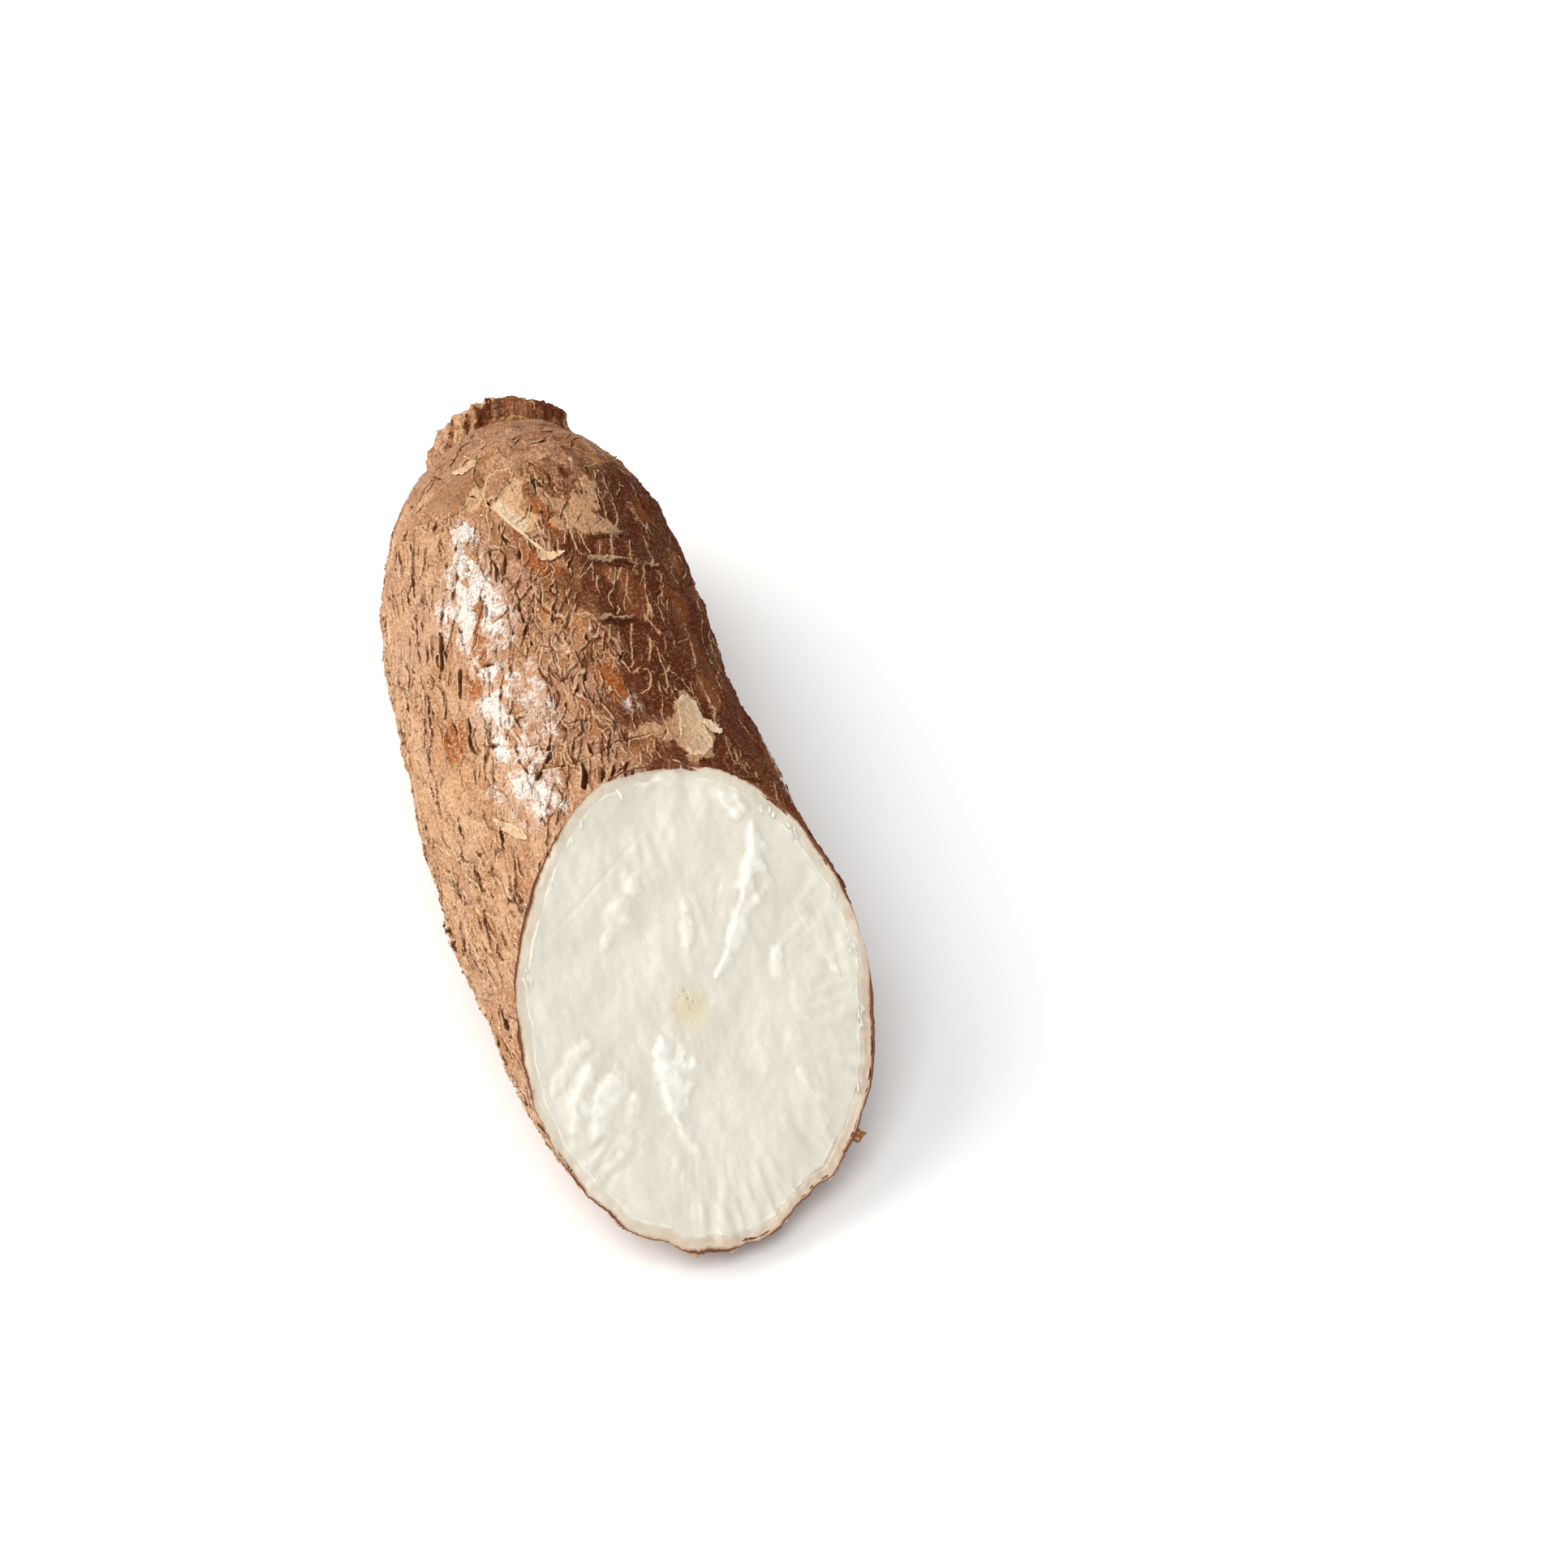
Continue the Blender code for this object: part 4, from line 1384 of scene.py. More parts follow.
def flesh_ridges(across, up):
    """Torn ridges: each has a ragged, steep side and a long, soft one."""
    lumps = soft_noise(88, 2.2, 2.2, FLESH_SHAPE)
    waver = 0.3 * soft_noise(89, 2.6, 2.6, FLESH_SHAPE) + 0.07 * soft_noise(90, 0.9, 0.9, FLESH_SHAPE)
    height = np.zeros(FLESH_SHAPE)
    for points, widths, rise in RIDGES:
        points = np.array(points, float)
        nearest = np.full(FLESH_SHAPE, np.inf)
        spread = np.linspace(0, 1, len(points))
        wide = np.interp(spread, np.linspace(0, 1, len(widths)), widths)
        for k, step in enumerate(np.diff(points, axis=0)):
            du = across - points[k, 0]
            dv = up - points[k, 1]
            share, away = from_segment(du, dv, *step)
            soft_side = ease((dv * step[0] - du * step[1]) / np.hypot(*step), -0.3, 0.3)
            reach = (wide[k] + share * (wide[k + 1] - wide[k])) * (0.8 + 1.1 * soft_side)
            nearest = np.minimum(nearest, away / reach)
        height = np.maximum(height, 1.3 * rise * (1.0 + 0.14 * lumps) * ease(nearest + waver, 1.6, 0.0))
    return height


def flesh_maps():
    """The slice's relief in millimetres, and the marks that its material reads."""
    across = (np.arange(FLESH_SHAPE[1]) * CELL - FLESH_SIZE / 2) * np.ones(FLESH_SHAPE)
    up = (np.arange(FLESH_SHAPE[0])[:, None] * CELL - FLESH_SIZE / 2) * np.ones(FLESH_SHAPE)
    reach = np.hypot(across, up * 0.8)
    turn = np.arctan2(up, across) / (2 * np.pi) % 1.0
    # Ribs that run out towards the rim, where the knife dragged across the fibres.
    ribs = look_up(soft_noise(81, 1.6, 6.0), turn * GIRTH, reach * 1.2 + 1.0, True)
    drag = ease(reach, 12.0, 25.0) * (0.35 + 0.65 * ease(up, 6.0, -16.0))
    drag = drag * ease(soft_noise(80, 7.0, 7.0, FLESH_SHAPE), -1.2, 0.8)
    height = 0.24 * soft_noise(82, 13.0, 13.0, FLESH_SHAPE)
    height += 0.11 * soft_noise(83, 4.5, 6.0, FLESH_SHAPE)
    height += 0.20 * ribs * drag + 0.045 * soft_noise(84, 1.8, 2.6, FLESH_SHAPE)
    height += 0.012 * soft_noise(85, 0.7, 0.7, FLESH_SHAPE)
    ridges = flesh_ridges(across, up)
    height += ridges
    # One shallow, straight score of the knife, at the upper left.
    score = np.abs((up - 23.0) * math.cos(0.46) - (across + 13.2) * math.sin(0.46))
    height -= 0.12 * bump(score, 0.0, 0.35) * ease(up, 20.0, 24.0) * ease(across, 4.0, 0.0)
    core = bump(np.hypot(across - PITH[0] - 0.4, (up - PITH[1] + 0.8) * 0.85), 0.0, 2.9)
    pore = np.zeros(FLESH_SHAPE)
    for x, y, size in PORES:
        away = np.hypot(across - x - PITH[0], up - y - PITH[1])
        pore = np.maximum(pore, bump(away, 0.0, size))
    height -= 0.15 * pore + 0.12 * core
    return height, {"core": core, "pore": pore, "ridge": 1.6 * ridges}


def flesh_piece():
    """The sliced face: dense flesh that the knife dragged and tore, inside a thin cortex."""
    ring = rim_points[::FLESH_STEP]
    rim_across = (ring - SLICE_MIDDLE) @ ACROSS_AXIS
    rim_up = (ring - SLICE_MIDDLE) @ UP_AXIS
    fine = np.linspace(0.0, EDGE_BAND, EDGE_RINGS)
    coarse = np.linspace(EDGE_BAND, FLESH_REACH - 0.4, FLESH_RINGS - EDGE_RINGS + 1)[1:]
    share = (1.0 - np.concatenate([fine, coarse]) / FLESH_REACH)[:, None]
    across = rim_across * share
    up = rim_up * share
    inset = (1.0 - share) * np.hypot(rim_across, rim_up)
    side = FLESH_SIZE / 2

    def at_rings(field):
        """The slice's map at the points of the flesh."""
        return look_up(field, across + side, up + side, False)

    height, marks = flesh_maps()
    rim_lumps = at_rings(soft_noise(86, 2.0, 2.0, FLESH_SHAPE))
    rind = RIND * (1.0 + 0.10 * at_rings(soft_noise(87, 9.0, 9.0, FLESH_SHAPE)))
    rise = at_rings(height) * ease(inset, 0.1, 1.2)
    cambium = bump(inset, rind + 0.15, 0.25) * ease(rim_lumps, -0.6, 0.9)
    lower_right = bump(np.arctan2(up, across), math.radians(-58.0), 0.45)
    rise += 0.12 * cambium - 0.06 * bump(inset, rind - 0.15, 0.2)
    rise -= 0.35 * lower_right * bump(inset, rind - 0.1, 0.25) * ease(rim_lumps, -0.8, 0.4)
    points = SLICE_MIDDLE + across[..., None] * ACROSS_AXIS + up[..., None] * UP_AXIS
    points = points + rise[..., None] * SLICE_NORMAL
    tip = SLICE_MIDDLE + SLICE_NORMAL * rise[-1].mean()
    mesh = new_mesh("flesh", points, last_tip=tip)
    for name, field in marks.items():
        paint(mesh, name, at_rings(field))
    paint(mesh, "inset", np.minimum(inset + RIND - rind, 9.0))
    paint(mesh, "cambium", cambium)
    low_or_right = ease(0.8 * across - up, -2.0, 22.0)
    paint(mesh, "pink", 0.1 + 0.7 * low_or_right + 0.2 * rim_lumps)
    unroll(mesh, across / 64.0 + 0.5, (up - 3.0) / 78.0 + 0.5)
    return new_piece("root_flesh", mesh, FLESH)


NECK_RINGS = 90


def neck_piece():
    """The broken end of the stem: a rough, dished face of short fibres round a soft pith."""
    ring = neck_points[::2]
    centre = ring.mean(0)
    inward = np.linspace(0.0, 1.0, NECK_RINGS + 1)[:-1, None]
    flat = centre + (ring - centre) * (1.0 - inward[..., None])
    radial = np.hypot(flat[..., 0] - centre[0], flat[..., 2] - centre[2])
    u = (turns[::2] + 0 * inward) * GIRTH
    v = radial * 3.0 + 4.0
    fibres = look_up(soft_noise(91, 2.4, 6.0), u, v, True)
    lumps = look_up(soft_noise(92, 14.0, 9.0), u, v, True) * ease(radial, 0.5, 5.0)
    grit = look_up(soft_noise(93, 5.0, 1.6), u, v, True) * ease(radial, 0.5, 5.0)
    dish = 2.0 * ease(inward, 0.0, 0.4) + 1.2 * bump(radial, 0.0, 2.4) - 0.6 * bump(radial, 6.5, 1.2)
    depth = dish + (0.35 * fibres + 0.45 * lumps + 0.15 * grit) * ease(inward, 0.0, 0.15)
    blend = ease(inward, 0.0, 0.35)
    flat[..., 1] = ring[:, 1] * (1.0 - blend) + centre[1] * blend - depth
    tip = np.array([centre[0], flat[-1, :, 1].mean(), centre[2]])
    flat = flat[:, ::-1]
    mesh = new_mesh("neck", flat, last_tip=tip)
    cracks = ease(fibres, -0.7, -1.5) + bump(radial, 0.0, 1.6)
    paint(mesh, "crack", np.clip(cracks, 0.0, 1.0)[:, ::-1])
    paint(mesh, "edge", ease(inward, 0.12, 0.0) * np.ones_like(radial))
    unroll(mesh, (flat[..., 0] - centre[0]) / 34.0 + 0.5, (flat[..., 2] - centre[2]) / 34.0 + 0.5)
    return new_piece("stem_break", mesh, WOOD)


def shut(mesh):
    """Turns the faces of a closed mesh outwards."""
    bm = bmesh.new()
    bm.from_mesh(mesh)
    bmesh.ops.recalc_face_normals(bm, faces=bm.faces)
    bm.to_mesh(mesh)
    bm.free()
    return mesh


SCALE_THICKNESS = 0.18
CURL_THICKNESS = 0.2
SHRED_THICKNESS = 0.35


def scale_piece(name, outline, tones, lift, curl, seed):
    """A thin scale of bark over a given outline, held at its middle and free at its edge.

    The tones are for its left and right: 0 is bleached, 1 is brown.
    """
    rng = np.random.default_rng(seed)
    corners = rounded(np.array(outline, float) * (DEGREE, 1.0))
    count = 180
    walk = np.linspace(0, len(corners), count, endpoint=False)
    closed = np.vstack([corners, corners[:1]])
    edge = np.stack([np.interp(walk, range(len(closed)), closed[:, k]) for k in (0, 1)], 1)
    centre = edge.mean(0)
    waves = sum(
        weight * blurred_ring(rng, count, spread) * math.sqrt(spread)
        for weight, spread in ((0.10, 5.0), (0.07, 2.0), (0.05, 0.8))
    )
    edge = centre + (edge - centre) * (1.0 + waves)[:, None]
    rise = np.clip(0.6 + 2.4 * blurred_ring(rng, count, 12.0), 0.0, 2.0)
    shares = np.linspace(0.08, 1.0, 16)
    top = []
    bottom = []
    places = []
    for share in shares:
        u, v = (centre + (edge - centre) * share).T
        height = lift * ease(share, 0.0, 0.9) + curl * rise * share**4
        places.append(u)
        top.append(above_bark(u, v, height + 0.06))
        bottom.append(above_bark(u, v, height + 0.05 - SCALE_THICKNESS * (1.0 - share**6)))
    rows = np.array(top + bottom[::-1])
    middle_top = above_bark(centre[:1], centre[1:], 0.06)[0]
    middle_bottom = above_bark(centre[:1], centre[1:], 0.05 - SCALE_THICKNESS)[0]
    mesh = shut(new_mesh(name, rows, first_tip=middle_top, last_tip=middle_bottom))
    rightward = ease(np.array(places + places[::-1]), edge[:, 0].max(), edge[:, 0].min())
    paint(mesh, "tone", tones[0] + (tones[1] - tones[0]) * rightward)
    paint(mesh, "edge", np.repeat(np.concatenate([shares, shares[::-1]]) ** 3, count))
    return new_piece(name, mesh, FLAKE)


def curl_piece(name, points, widths, turn, tone, side):
    """A strip of bark that has come away along a line and curled over, like a shaving."""
    path, width = drawn(points, widths)
    step = np.gradient(path, axis=0)
    step = step / np.linalg.norm(step, axis=1, keepdims=True)
    across = np.stack([step[:, 1], -step[:, 0]], 1) * side
    rows = []
    share = np.linspace(0.0, 1.0, 14)
    bend = math.radians(turn) * share
    for place, out, wide in zip(path, across, width):
        curve = max(wide, 0.05) / math.radians(turn)
        outer = np.stack([curve * np.sin(bend), curve * (1 - np.cos(bend))], 1)
        inner_curve = curve - min(CURL_THICKNESS, 0.6 * curve)
        inner = np.stack([inner_curve * np.sin(bend), curve - inner_curve * np.cos(bend)], 1)
        loop = np.concatenate([outer, inner[::-1]])
        spot = place + loop[:, :1] * out
        rows.append(above_bark(spot[:, 0], spot[:, 1], loop[:, 1] - 0.02))
    rows = np.array(rows)
    mesh = shut(new_mesh(name, rows, first_tip=rows[0].mean(0), last_tip=rows[-1].mean(0)))
    paint(mesh, "tone", tone)
    paint(mesh, "edge", np.tile(np.concatenate([share, share[::-1]]) ** 2, len(rows)))
    return new_piece(name, mesh, FLAKE)


def shred_piece(name, degrees, length, width, out, sweep, tone):
    """A sliver of peel that the knife left hanging from the slice's rim."""
    column = int(degrees / 360.0 * COLUMNS) % COLUMNS
    root = rim_points[column]
    tangent = rim_points[(column + 6) % COLUMNS] - rim_points[column - 6]
    tangent = tangent / np.linalg.norm(tangent)
    outward = np.cross(tangent, SLICE_NORMAL)
    outward = outward * np.sign(outward @ (root - rim_points.mean(0)))
    share = np.linspace(0.0, 1.0, 14)[:, None]
    path = root - SLICE_NORMAL * 0.5 - outward * 0.5
    path = path + share * length * (outward * out + tangent * sweep)
    path = path - SLICE_NORMAL * (share**2) * length * 0.35
    angle = np.linspace(0, 2 * np.pi, 12, endpoint=False)
    wobble = 1.0 + 0.3 * np.sin(share * 9.0 + degrees)
    half = 0.5 * width * (1.0 - share**1.5) * wobble + 0.03
    rows = path[:, None] + (np.cos(angle) * half)[..., None] * (tangent * out - outward * sweep)
    thick = np.sin(angle) * SHRED_THICKNESS / 2 * (1.0 - 0.7 * share)
    rows = rows + thick[..., None] * SLICE_NORMAL
    rows[..., 2] = np.maximum(rows[..., 2], 0.0)
    mesh = shut(new_mesh(name, rows, first_tip=rows[0].mean(0), last_tip=rows[-1].mean(0)))
    paint(mesh, "tone", tone)
    paint(mesh, "edge", 0.7 * share * np.ones((1, 12)))
    return new_piece(name, mesh, FLAKE)


# ---------------------------------------------------------------- loose chips and root hairs

CARRIER_STEP = 6  # the chips grow on every sixth point of the bark's rows and columns


def carrier(chance):
    """A light copy of the bark with a map of how thickly things grow on it."""
    points = BARK_POINTS[::CARRIER_STEP, ::CARRIER_STEP][:-1]
    along = BARK_ALONG[::CARRIER_STEP, ::CARRIER_STEP][:-1]
    mesh = new_mesh("carrier", points)
    u = turns[::CARRIER_STEP] * GIRTH + 0 * along
    paint(mesh, "chance", look_up(chance, u, along, True))
    return new_object("carrier", mesh)


def new_tree(name, sockets):
    """A Geometry Nodes tree with named inputs; returns the tree and its input sockets."""
    tree = bpy.data.node_groups.new(name, "GeometryNodeTree")
    tree.interface.new_socket("Geometry", in_out="INPUT", socket_type="NodeSocketGeometry")
    tree.interface.new_socket("Geometry", in_out="OUTPUT", socket_type="NodeSocketGeometry")
    for label, kind in sockets:
        tree.interface.new_socket(label, in_out="INPUT", socket_type=kind)
    return tree, tree.nodes.new("NodeGroupInput").outputs


def cambium_carrier():
    """A narrow ribbon over the cambium, with more growing on it where the knife tore."""
    ring = rim_points[::4] - SLICE_MIDDLE
    far = np.linalg.norm(ring, axis=1)[:, None]
    insets = (1.6, 2.2, 2.9)
    middle_of_ribbon = SLICE_MIDDLE + 0.05 * SLICE_NORMAL
    rows = [middle_of_ribbon + ring * (1.0 - inset / far) for inset in insets]
    mesh = new_mesh("ribbon", np.array(rows))
    torn = 0.25 + bell(95.0, 35.0) + bell(20.0, 25.0) + 0.8 * bell(190.0, 30.0)
    torn = torn * ease(ring_noise(76, 7.0), -0.2, 1.2)
    paint(mesh, "chance", np.tile(torn[::4], len(insets)))
    return new_object("ribbon", mesh)


def grown(name, tree, host, values, material):
    """Runs a tree on its carrier and keeps what it makes as a plain piece."""
    grower = host.modifiers.new(name, "NODES")
    grower.node_group = tree
    for item in tree.interface.items_tree:
        if item.in_out == "INPUT" and item.name in values:
            grower[item.identifier] = values[item.name]
    bpy.context.view_layer.update()
    graph = bpy.context.evaluated_depsgraph_get()
    mesh = bpy.data.meshes.new_from_object(host.evaluated_get(graph))
    bpy.data.objects.remove(host)
    return new_piece(name, mesh, material)


def strewn(tree, given, thickly):
    """Spots on the carrier, as thick as its map of chances says. They carry its directions."""
    chance = add(tree, "GeometryNodeInputNamedAttribute", {"Name": "chance"}, data_type="FLOAT")
    density = add(tree, "ShaderNodeMath", {0: chance, 1: given[thickly]}, operation="MULTIPLY")
    scatter = {"Mesh": given["Geometry"], "Density": density, "Seed": given["Seed"]}
    return add(tree, "GeometryNodeDistributePointsOnFaces", scatter)


def tilted(tree, given, rotation, least, most):
    """The rotation with a random turn between two sets of angles on top of it."""
    turn = add(
        tree,
        "FunctionNodeRandomValue",
        {"Min": least, "Max": most, "Seed": given["Seed"]},
        data_type="FLOAT_VECTOR",
    )
    by = add(tree, "FunctionNodeEulerToRotation", {"Euler": turn})
    return add(
        tree,
        "FunctionNodeRotateRotation",
        {"Rotation": rotation, "Rotate By": by},
        rotation_space="LOCAL",
    )


def one_chip(tree, given):
    """A thin block that narrows towards both ends and bends up along its length."""
    sides = {"X": given["Length"], "Y": given["Width"], "Z": given["Thickness"]}
    size = add(tree, "ShaderNodeCombineXYZ", sides)
    block = add(
        tree, "GeometryNodeMeshCube", {"Size": size, "Vertices X": 6, "Vertices Y": 4, "Vertices Z": 2}
    )
    place = add(tree, "GeometryNodeInputPosition")
    apart = add(tree, "ShaderNodeSeparateXYZ", {"Vector": place})
    x = add(tree, "ShaderNodeMath", {0: apart, 1: given["Length"]}, operation="DIVIDE")
    square = add(tree, "ShaderNodeMath", {0: x, 1: x}, operation="MULTIPLY")
    narrowing = add(tree, "ShaderNodeMath", {0: square, 1: -2.8, 2: 1.0}, operation="MULTIPLY_ADD")
    y = add(tree, "ShaderNodeMath", {0: apart.node.outputs["Y"], 1: narrowing}, operation="MULTIPLY")
    rise = add(tree, "ShaderNodeMath", {0: square, 1: given["Bend"]}, operation="MULTIPLY")
    z = add(tree, "ShaderNodeMath", {0: apart.node.outputs["Z"], 1: rise}, operation="ADD")
    bent = add(tree, "ShaderNodeCombineXYZ", {"X": apart, "Y": y, "Z": z})
    return add(tree, "GeometryNodeSetPosition", {"Geometry": block, "Position": bent})


def one_hair(tree, given):
    """A thin tapering tube that stands up and bends to one side."""
    end = add(tree, "ShaderNodeCombineXYZ", {"Z": given["Length"]})
    line = add(tree, "GeometryNodeCurvePrimitiveLine", {"Start": (0.0, 0.0, 0.0), "End": end})
    line = add(tree, "GeometryNodeResampleCurve", {"Curve": line, "Count": 9})
    share = add(tree, "GeometryNodeSplineParameter")
    square = add(tree, "ShaderNodeMath", {0: share, 1: share}, operation="MULTIPLY")
    sideways = add(tree, "ShaderNodeMath", {0: square, 1: given["Bend"]}, operation="MULTIPLY")
    bend = add(tree, "ShaderNodeCombineXYZ", {"X": sideways})
    line = add(tree, "GeometryNodeSetPosition", {"Geometry": line, "Offset": bend})
    thin = add(tree, "ShaderNodeMath", {0: share, 1: -0.85, 2: 1.0}, operation="MULTIPLY_ADD")
    round_section = {"Resolution": 6, "Radius": given["Thickness"]}
    section = add(tree, "GeometryNodeCurvePrimitiveCircle", round_section)
    return add(
        tree,
        "GeometryNodeCurveToMesh",
        {"Curve": line, "Profile Curve": section, "Scale": thin, "Fill Caps": True},
    )


def chip_tree():
    """Scatters small closed scales of bark, bent and tilted, with their length along the root."""
    tree, given = new_tree(
        "bark_chips",
        (
            ("Chips per square metre", "NodeSocketFloat"),
            ("Length", "NodeSocketFloat"),
            ("Width", "NodeSocketFloat"),
            ("Thickness", "NodeSocketFloat"),
            ("Bend", "NodeSocketFloat"),
            ("Raggedness", "NodeSocketFloat"),
            ("Seed", "NodeSocketInt"),
            ("Material", "NodeSocketMaterial"),
        ),
    )
    spots = strewn(tree, given, "Chips per square metre")
    chip = one_chip(tree, given)
    normal = spots.node.outputs["Normal"]
    upright = add(tree, "FunctionNodeAlignRotationToVector", {"Vector": normal}, axis="Z")
    lengthwise = add(
        tree,
        "FunctionNodeAlignRotationToVector",
        {"Rotation": upright, "Vector": (0.0, -1.0, 0.0)},
        axis="X",
        pivot_axis="Z",
    )
    rotation = tilted(tree, given, lengthwise, (-0.25, -0.35, -0.5), (0.25, 0.15, 0.5))
    growth = add(
        tree,
        "FunctionNodeRandomValue",
        {"Min": (0.35, 0.4, 0.7), "Max": (1.5, 1.4, 1.2), "Seed": 7},
        data_type="FLOAT_VECTOR",
    )
    chips = add(
        tree,
        "GeometryNodeInstanceOnPoints",
        {"Points": spots, "Instance": chip, "Rotation": rotation, "Scale": growth},
    )
    tone = add(tree, "FunctionNodeRandomValue", {"Min": 0.25, "Max": 1.0, "Seed": 9}, data_type="FLOAT")
    toned = add(
        tree,
        "GeometryNodeStoreNamedAttribute",
        {"Geometry": chips, "Name": "tone", "Value": tone},
        data_type="FLOAT",
        domain="INSTANCE",
    )
    real = add(tree, "GeometryNodeRealizeInstances", {"Geometry": toned})
    shake = add(tree, "ShaderNodeTexNoise", {"Scale": 900.0, "Detail": 1.0}, out="Color")
    centred = add(tree, "ShaderNodeVectorMath", {0: shake, 1: (0.5, 0.5, 0.5)}, operation="SUBTRACT")
    strength = add(
        tree, "ShaderNodeVectorMath", {0: centred, "Scale": given["Raggedness"]}, operation="SCALE"
    )
    ragged = add(tree, "GeometryNodeSetPosition", {"Geometry": real, "Offset": strength})
    done = add(tree, "GeometryNodeSetMaterial", {"Geometry": ragged, "Material": given["Material"]})
    add(tree, "NodeGroupOutput", {0: done})
    return tree


def hair_tree():
    """Fine root hairs: thin tapering curves that stand off the bark and bend."""
    tree, given = new_tree(
        "root_hairs",
        (
            ("Hairs per square metre", "NodeSocketFloat"),
            ("Length", "NodeSocketFloat"),
            ("Thickness", "NodeSocketFloat"),
            ("Bend", "NodeSocketFloat"),
            ("Seed", "NodeSocketInt"),
            ("Material", "NodeSocketMaterial"),
        ),
    )
    spots = strewn(tree, given, "Hairs per square metre")
    hair = one_hair(tree, given)
    upright = spots.node.outputs["Rotation"]
    rotation = tilted(tree, given, upright, (-0.9, -0.9, -3.1), (0.9, 0.9, 3.1))
    growth = add(tree, "FunctionNodeRandomValue", {"Min": 0.4, "Max": 1.3, "Seed": 5}, data_type="FLOAT")
    hairs = add(
        tree,
        "GeometryNodeInstanceOnPoints",
        {"Points": spots, "Instance": hair, "Rotation": rotation, "Scale": growth},
    )
    real = add(tree, "GeometryNodeRealizeInstances", {"Geometry": hairs})
    done = add(tree, "GeometryNodeSetMaterial", {"Geometry": real, "Material": given["Material"]})
    add(tree, "NodeGroupOutput", {0: done})
    return tree


# Nothing loose grows on the belly, which lies on the table.
OFF_TABLE = 1.0 - ease(np.abs(round_from(265.0)) / DEGREE, 62.0, 45.0)


def chips_piece():
    """Loose chips, thickest where the bark is rough and along its ledges."""
    clear = np.maximum.reduce([ease(MARKS[name], -1.0, 0.2) for name in ("cream", "tan")])
    chance = 0.25 + 0.75 * ease(soft_noise(97, 7.0, 9.0), -0.3, 1.3)
    chance = chance + 1.5 * ease(MARKS["scar"], 0.8, 0.0)
    chance = chance * ease(ALONG, 12.0, 26.0) * (1.0 - clear) * OFF_TABLE
    chance = chance * (1.0 - 0.7 * ease(MARKS["brown"], 0.45, 0.8))
    values = {
        "Chips per square metre": 32000.0,
        "Length": 1.5 * MM,
        "Width": 0.55 * MM,
        "Thickness": 0.12 * MM,
        "Bend": 1.0 * MM,
        "Raggedness": 0.35 * MM,
        "Seed": 4,
        "Material": FLAKE,
    }
    piece = grown("loose_bark_chips", chip_tree(), carrier(chance), values, FLAKE)
    paint(piece.data, "edge", 0.5)
    return piece


def crumbs_piece():
    """Crumbs of flesh that the knife pulled out along the cambium."""
    values = {
        "Chips per square metre": 9.0e5,
        "Length": 1.5 * MM,
        "Width": 0.5 * MM,
        "Thickness": 0.15 * MM,
        "Bend": 0.0,
        "Raggedness": 0.5 * MM,
        "Seed": 3,
        "Material": FLESH,
    }
    piece = grown("cambium_crumbs", chip_tree(), cambium_carrier(), values, FLESH)
    for name, value in (("inset", 9.0), ("cambium", 0.6), ("ridge", 0.8)):
        paint(piece.data, name, value)
    return piece


def hairs_piece():
    """A few dry root hairs along the flanks and the shoulder."""
    chance = ease(soft_noise(98, 9.0, 12.0), 0.4, 1.4) * ease(ALONG, 8.0, 20.0) * OFF_TABLE
    values = {
        "Hairs per square metre": 4200.0,
        "Length": 1.7 * MM,
        "Thickness": 0.06 * MM,
        "Bend": 0.8 * MM,
        "Seed": 6,
        "Material": FLAKE,
    }
    piece = grown("root_hairs", hair_tree(), carrier(chance), values, FLAKE)
    paint(piece.data, "tone", 0.8)
    paint(piece.data, "edge", 0.0)
    return piece


# ---------------------------------------------------------------- floor, light and camera

LOOK_AT = Vector((38.07, 11.98, 0.0)) * MM  # on the table beside the root, so it sits left of centre
CAMERA_BEARING = -20.11  # degrees round from straight in front
CAMERA_HEIGHT = 45.0  # degrees above the table
CAMERA_AWAY = 650.0
LENS = 87.24

# The lights: name, place and side in metres, power in watts, tint.
SOFTBOXES = (
    ("window_left", (-0.8, 0.4, 0.75), 1.0, 11.0, (1.0, 0.98, 0.95)),
    ("overhead", (-0.25, -0.5, 1.1), 0.7, 7.5, (1.0, 1.0, 1.0)),
)
LIT_POINT = Vector((0.0, 0.0, 0.03))  # about the middle of the root, in metres
AMBIENT = 0.5  # strength of the white light from all round
TABLE_HALF = 4.0  # half the table's side, in metres
TABLE_GAP = 0.2 * MM  # the table's top lies this little below the root


def place_camera():
    """A long lens that looks down on the sliced end from the front and a little to the left."""
    bearing = math.radians(CAMERA_BEARING)
    height = math.radians(CAMERA_HEIGHT)
    away = Vector(
        (math.sin(bearing) * math.cos(height), -math.cos(bearing) * math.cos(height), math.sin(height))
    )
    data = bpy.data.cameras.new("camera")
    data.lens = LENS
    data.sensor_width = 36.0
    camera = new_object("camera", data)
    camera.location = LOOK_AT + away * CAMERA_AWAY * MM
    camera.rotation_euler = away.to_track_quat("Z", "Y").to_euler()
    bpy.context.scene.camera = camera


def softbox(name, place, size, power, tint):
    """A square light that faces the root."""
    data = bpy.data.lights.new(name, "AREA")
    data.size = size
    data.energy = power
    data.color = tint
    light = new_object(name, data)
    light.location = place
    light.rotation_euler = (Vector(place) - LIT_POINT).to_track_quat("Z", "Y").to_euler()


def studio():
    """Even white light all round, with a large window to the left and a softer light above."""
    world = bpy.data.worlds.new("studio")
    bpy.context.scene.world = world
    world.use_nodes = True
    background = world.node_tree.nodes["Background"]
    background.inputs["Color"].default_value = (1.0, 1.0, 1.0, 1.0)
    background.inputs["Strength"].default_value = AMBIENT
    for light in SOFTBOXES:
        softbox(*light)
    bpy.context.scene.view_settings.view_transform = "Standard"


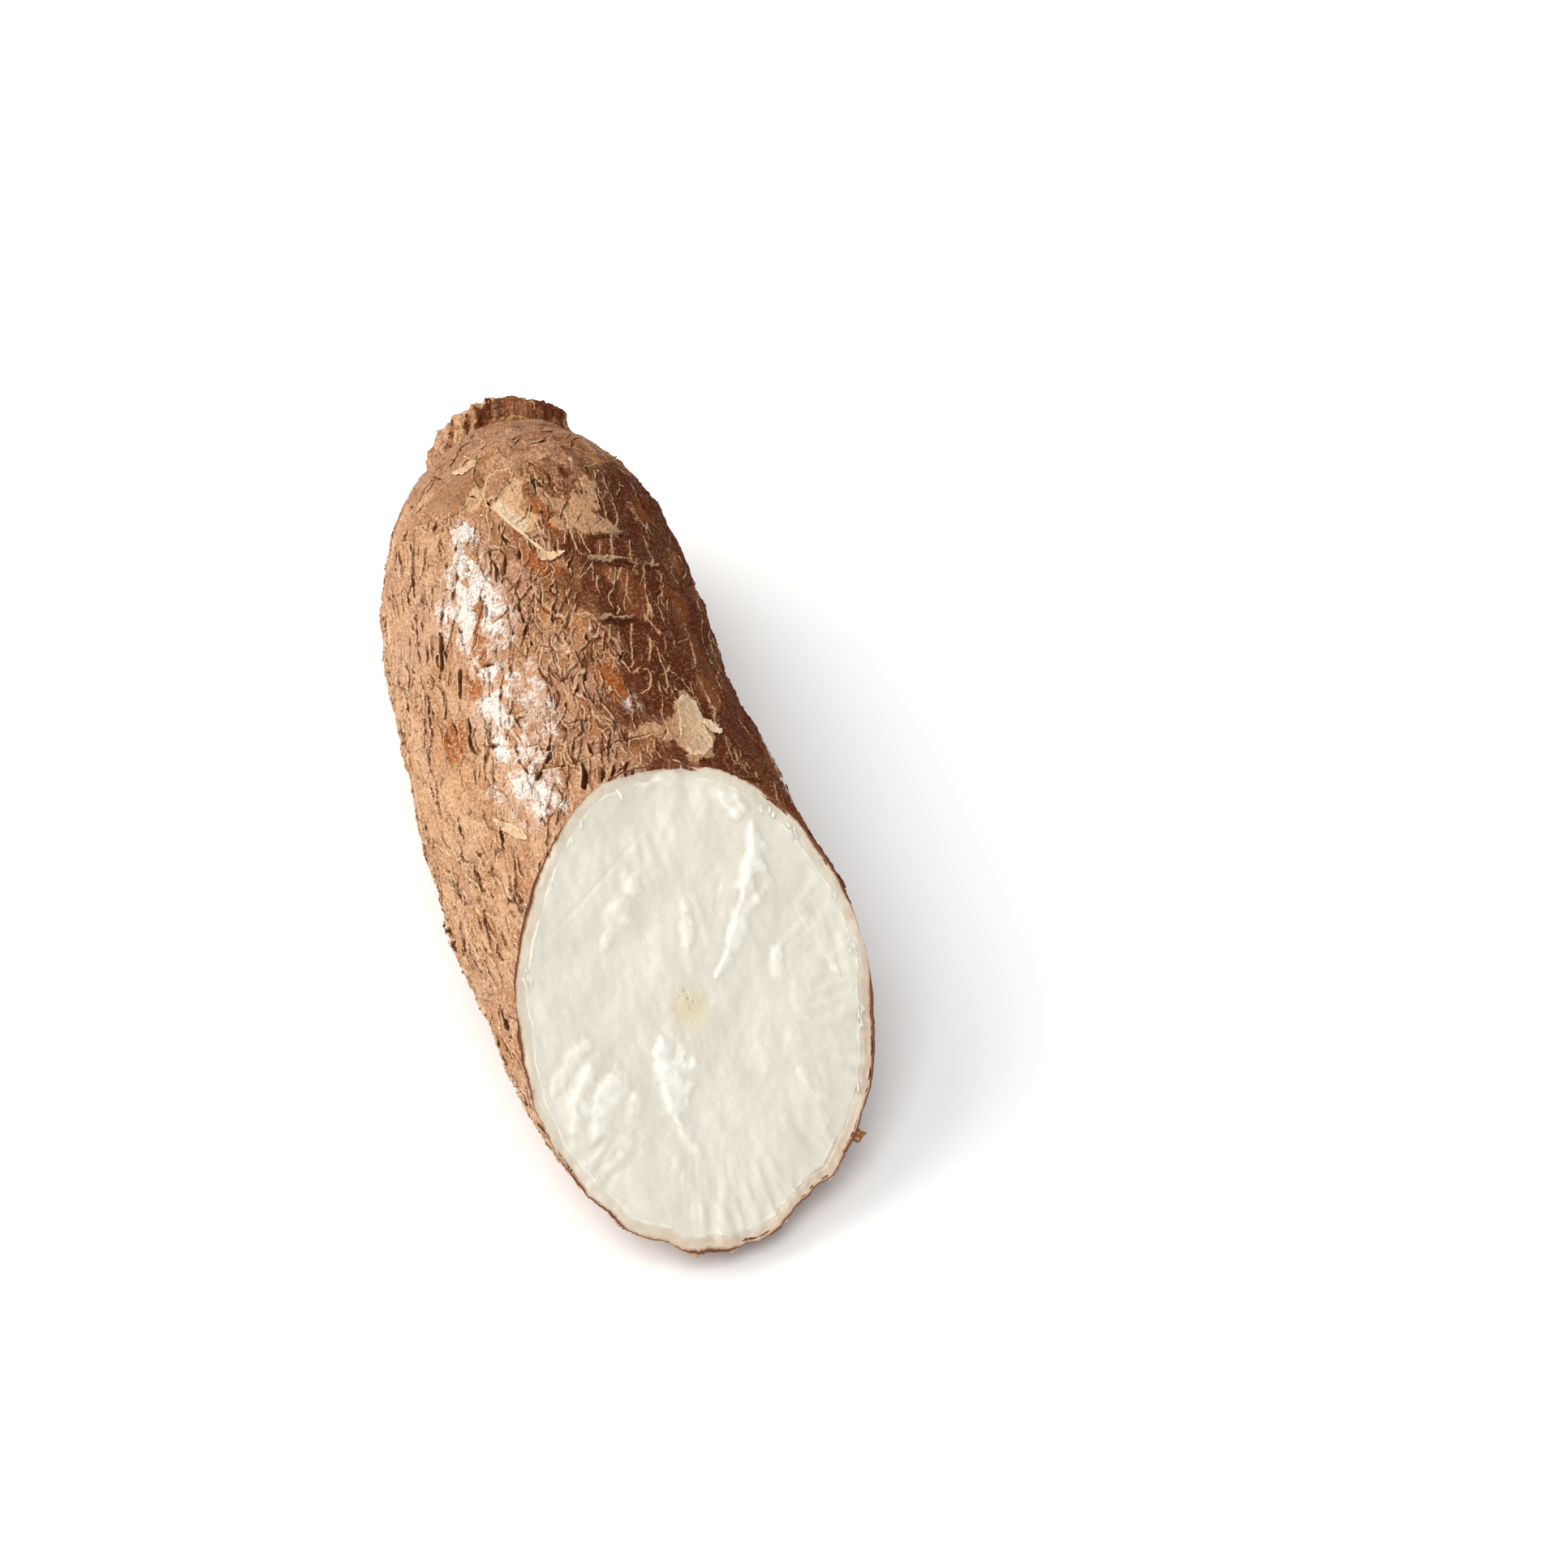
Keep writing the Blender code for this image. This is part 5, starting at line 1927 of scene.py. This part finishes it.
def floor():
    """A plain white tabletop of matt laminate."""
    mesh = bpy.data.meshes.new("tabletop")
    corners = [(x * TABLE_HALF, y * TABLE_HALF, 0.0) for x, y in ((-1, -1), (1, -1), (1, 1), (-1, 1))]
    mesh.from_pydata(corners, [], [(0, 1, 2, 3)])
    material, tree = new_material("matt_white_laminate")
    shader = add(tree, "ShaderNodeBsdfPrincipled", {"Base Color": colour("#fcfcfb"), "Roughness": 1.0})
    add(tree, "ShaderNodeOutputMaterial", {"Surface": shader})
    mesh.materials.append(material)
    table = new_object("tabletop", mesh)
    table.location.z = -TABLE_GAP


# ---------------------------------------------------------------- the flakes and shreds, and all pieces

PALE_FLAKE = (
    (65.7, 99.3), (60, 96), (56.3, 96.8), (56.4, 100), (57.5, 102.4), (59.5, 104.1), (61, 107.4),
    (60.1, 108.8), (62.1, 110.4), (66.7, 112), (70.3, 111.8), (71.3, 109.7), (71, 107.3), (68, 103.7),
    (66.5, 101.5),
)  # fmt: skip
ARCHED_FLAP = (
    (105.8, 40), (105, 36.5), (102, 34), (98, 33.3), (93.5, 33.6), (91.5, 36.6), (94.5, 38),
    (97.5, 38.8), (100.5, 41),
)  # fmt: skip
RIM_FLAKE = (
    (137, 107.3), (133.6, 110.2), (130, 113), (128, 115.6), (129.4, 116.4), (132, 114.6), (134.6, 112),
    (136.5, 109.5),
)  # fmt: skip
WHITE_LOBE = (
    (60.4, 103.9), (56.7, 102.1), (52.3, 102.1), (51.6, 103.8), (55.7, 106.5), (58.6, 106.9),
    (60, 105.9),
)  # fmt: skip
SHOULDER_FLAKE = ((116.5, 27.2), (110, 26.6), (105, 26.4), (105.5, 29.4), (112, 30.2))
STRIP_TIP = ((93, 57.2), (88, 58.2), (83, 59.7), (88.3, 61), (92.4, 59.6))

# Loose scales: outline, tones at the left and the right, how far the scale stands off the
# bark, how far its edge curls up, and the seed of its ragged edge.
SCALES = (
    ("pale_flake", PALE_FLAKE, (0.62, 0.32), 0.0, 0.1, 1),
    ("white_lobe", WHITE_LOBE, (0.05, 0.0), 0.15, 0.15, 6),
    ("arched_flap", ARCHED_FLAP, (0.70, 0.85), 0.08, 0.2, 2),
    ("rim_flake", RIM_FLAKE, (0.3, 0.4), 0.2, 0.3, 3),
    ("shoulder_flake", SHOULDER_FLAKE, (0.35, 0.55), 0.12, 0.25, 4),
    ("strip_tip", STRIP_TIP, (0.4, 0.25), 0.25, 0.3, 5),
)

FOLD = ((105.6, 41), (102.4, 44.5), (98.7, 49.5), (95, 54), (91.5, 57.3), (86, 59.6))
TORN_EDGE = ((90.2, 48), (89.8, 51.3), (89.5, 54.2), (89.3, 56.4), (89.6, 58.1))

# Curled strips: the line they are torn along, half widths, degrees of curl, tone, and which side.
CURLS = (
    ("folded_strip", FOLD, (0.3, 1.0, 0.9, 0.5, 0.7, 0.2), 120.0, 0.25, -1.0),
    ("torn_edge", TORN_EDGE, (0.1, 0.4, 0.4, 0.3, 0.1), 100.0, 0.25, 1.0),
)

# Shreds on the rim: bearing, length, width, how far they point outwards and onwards, tone.
SHREDS = (
    ("rim_shred_1", 318.0, 3.6, 2.6, 0.75, 0.55, 1.0),
    ("rim_shred_2", 306.0, 1.5, 1.6, 0.7, -0.5, 0.1),
    ("rim_shred_3", 285.0, 1.5, 2.4, 0.6, 0.6, 0.1),
    ("rim_shred_4", 262.0, 1.8, 2.4, 0.5, 0.7, 0.4),
    ("rim_shred_5", 249.0, 1.5, 2.6, 0.5, -0.7, 0.5),
    ("rim_shred_6", 228.0, 1.2, 1.2, 0.7, 0.5, 0.2),
)

strips = bark_pieces()
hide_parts("cassava_root")
flesh_piece()
neck_piece()
for scale in SCALES:
    scale_piece(*scale)
for curl in CURLS:
    curl_piece(*curl)
for shred in SHREDS:
    shred_piece(*shred)
crumbs_piece()
chips_piece()
hairs_piece()
floor()
studio()
place_camera()
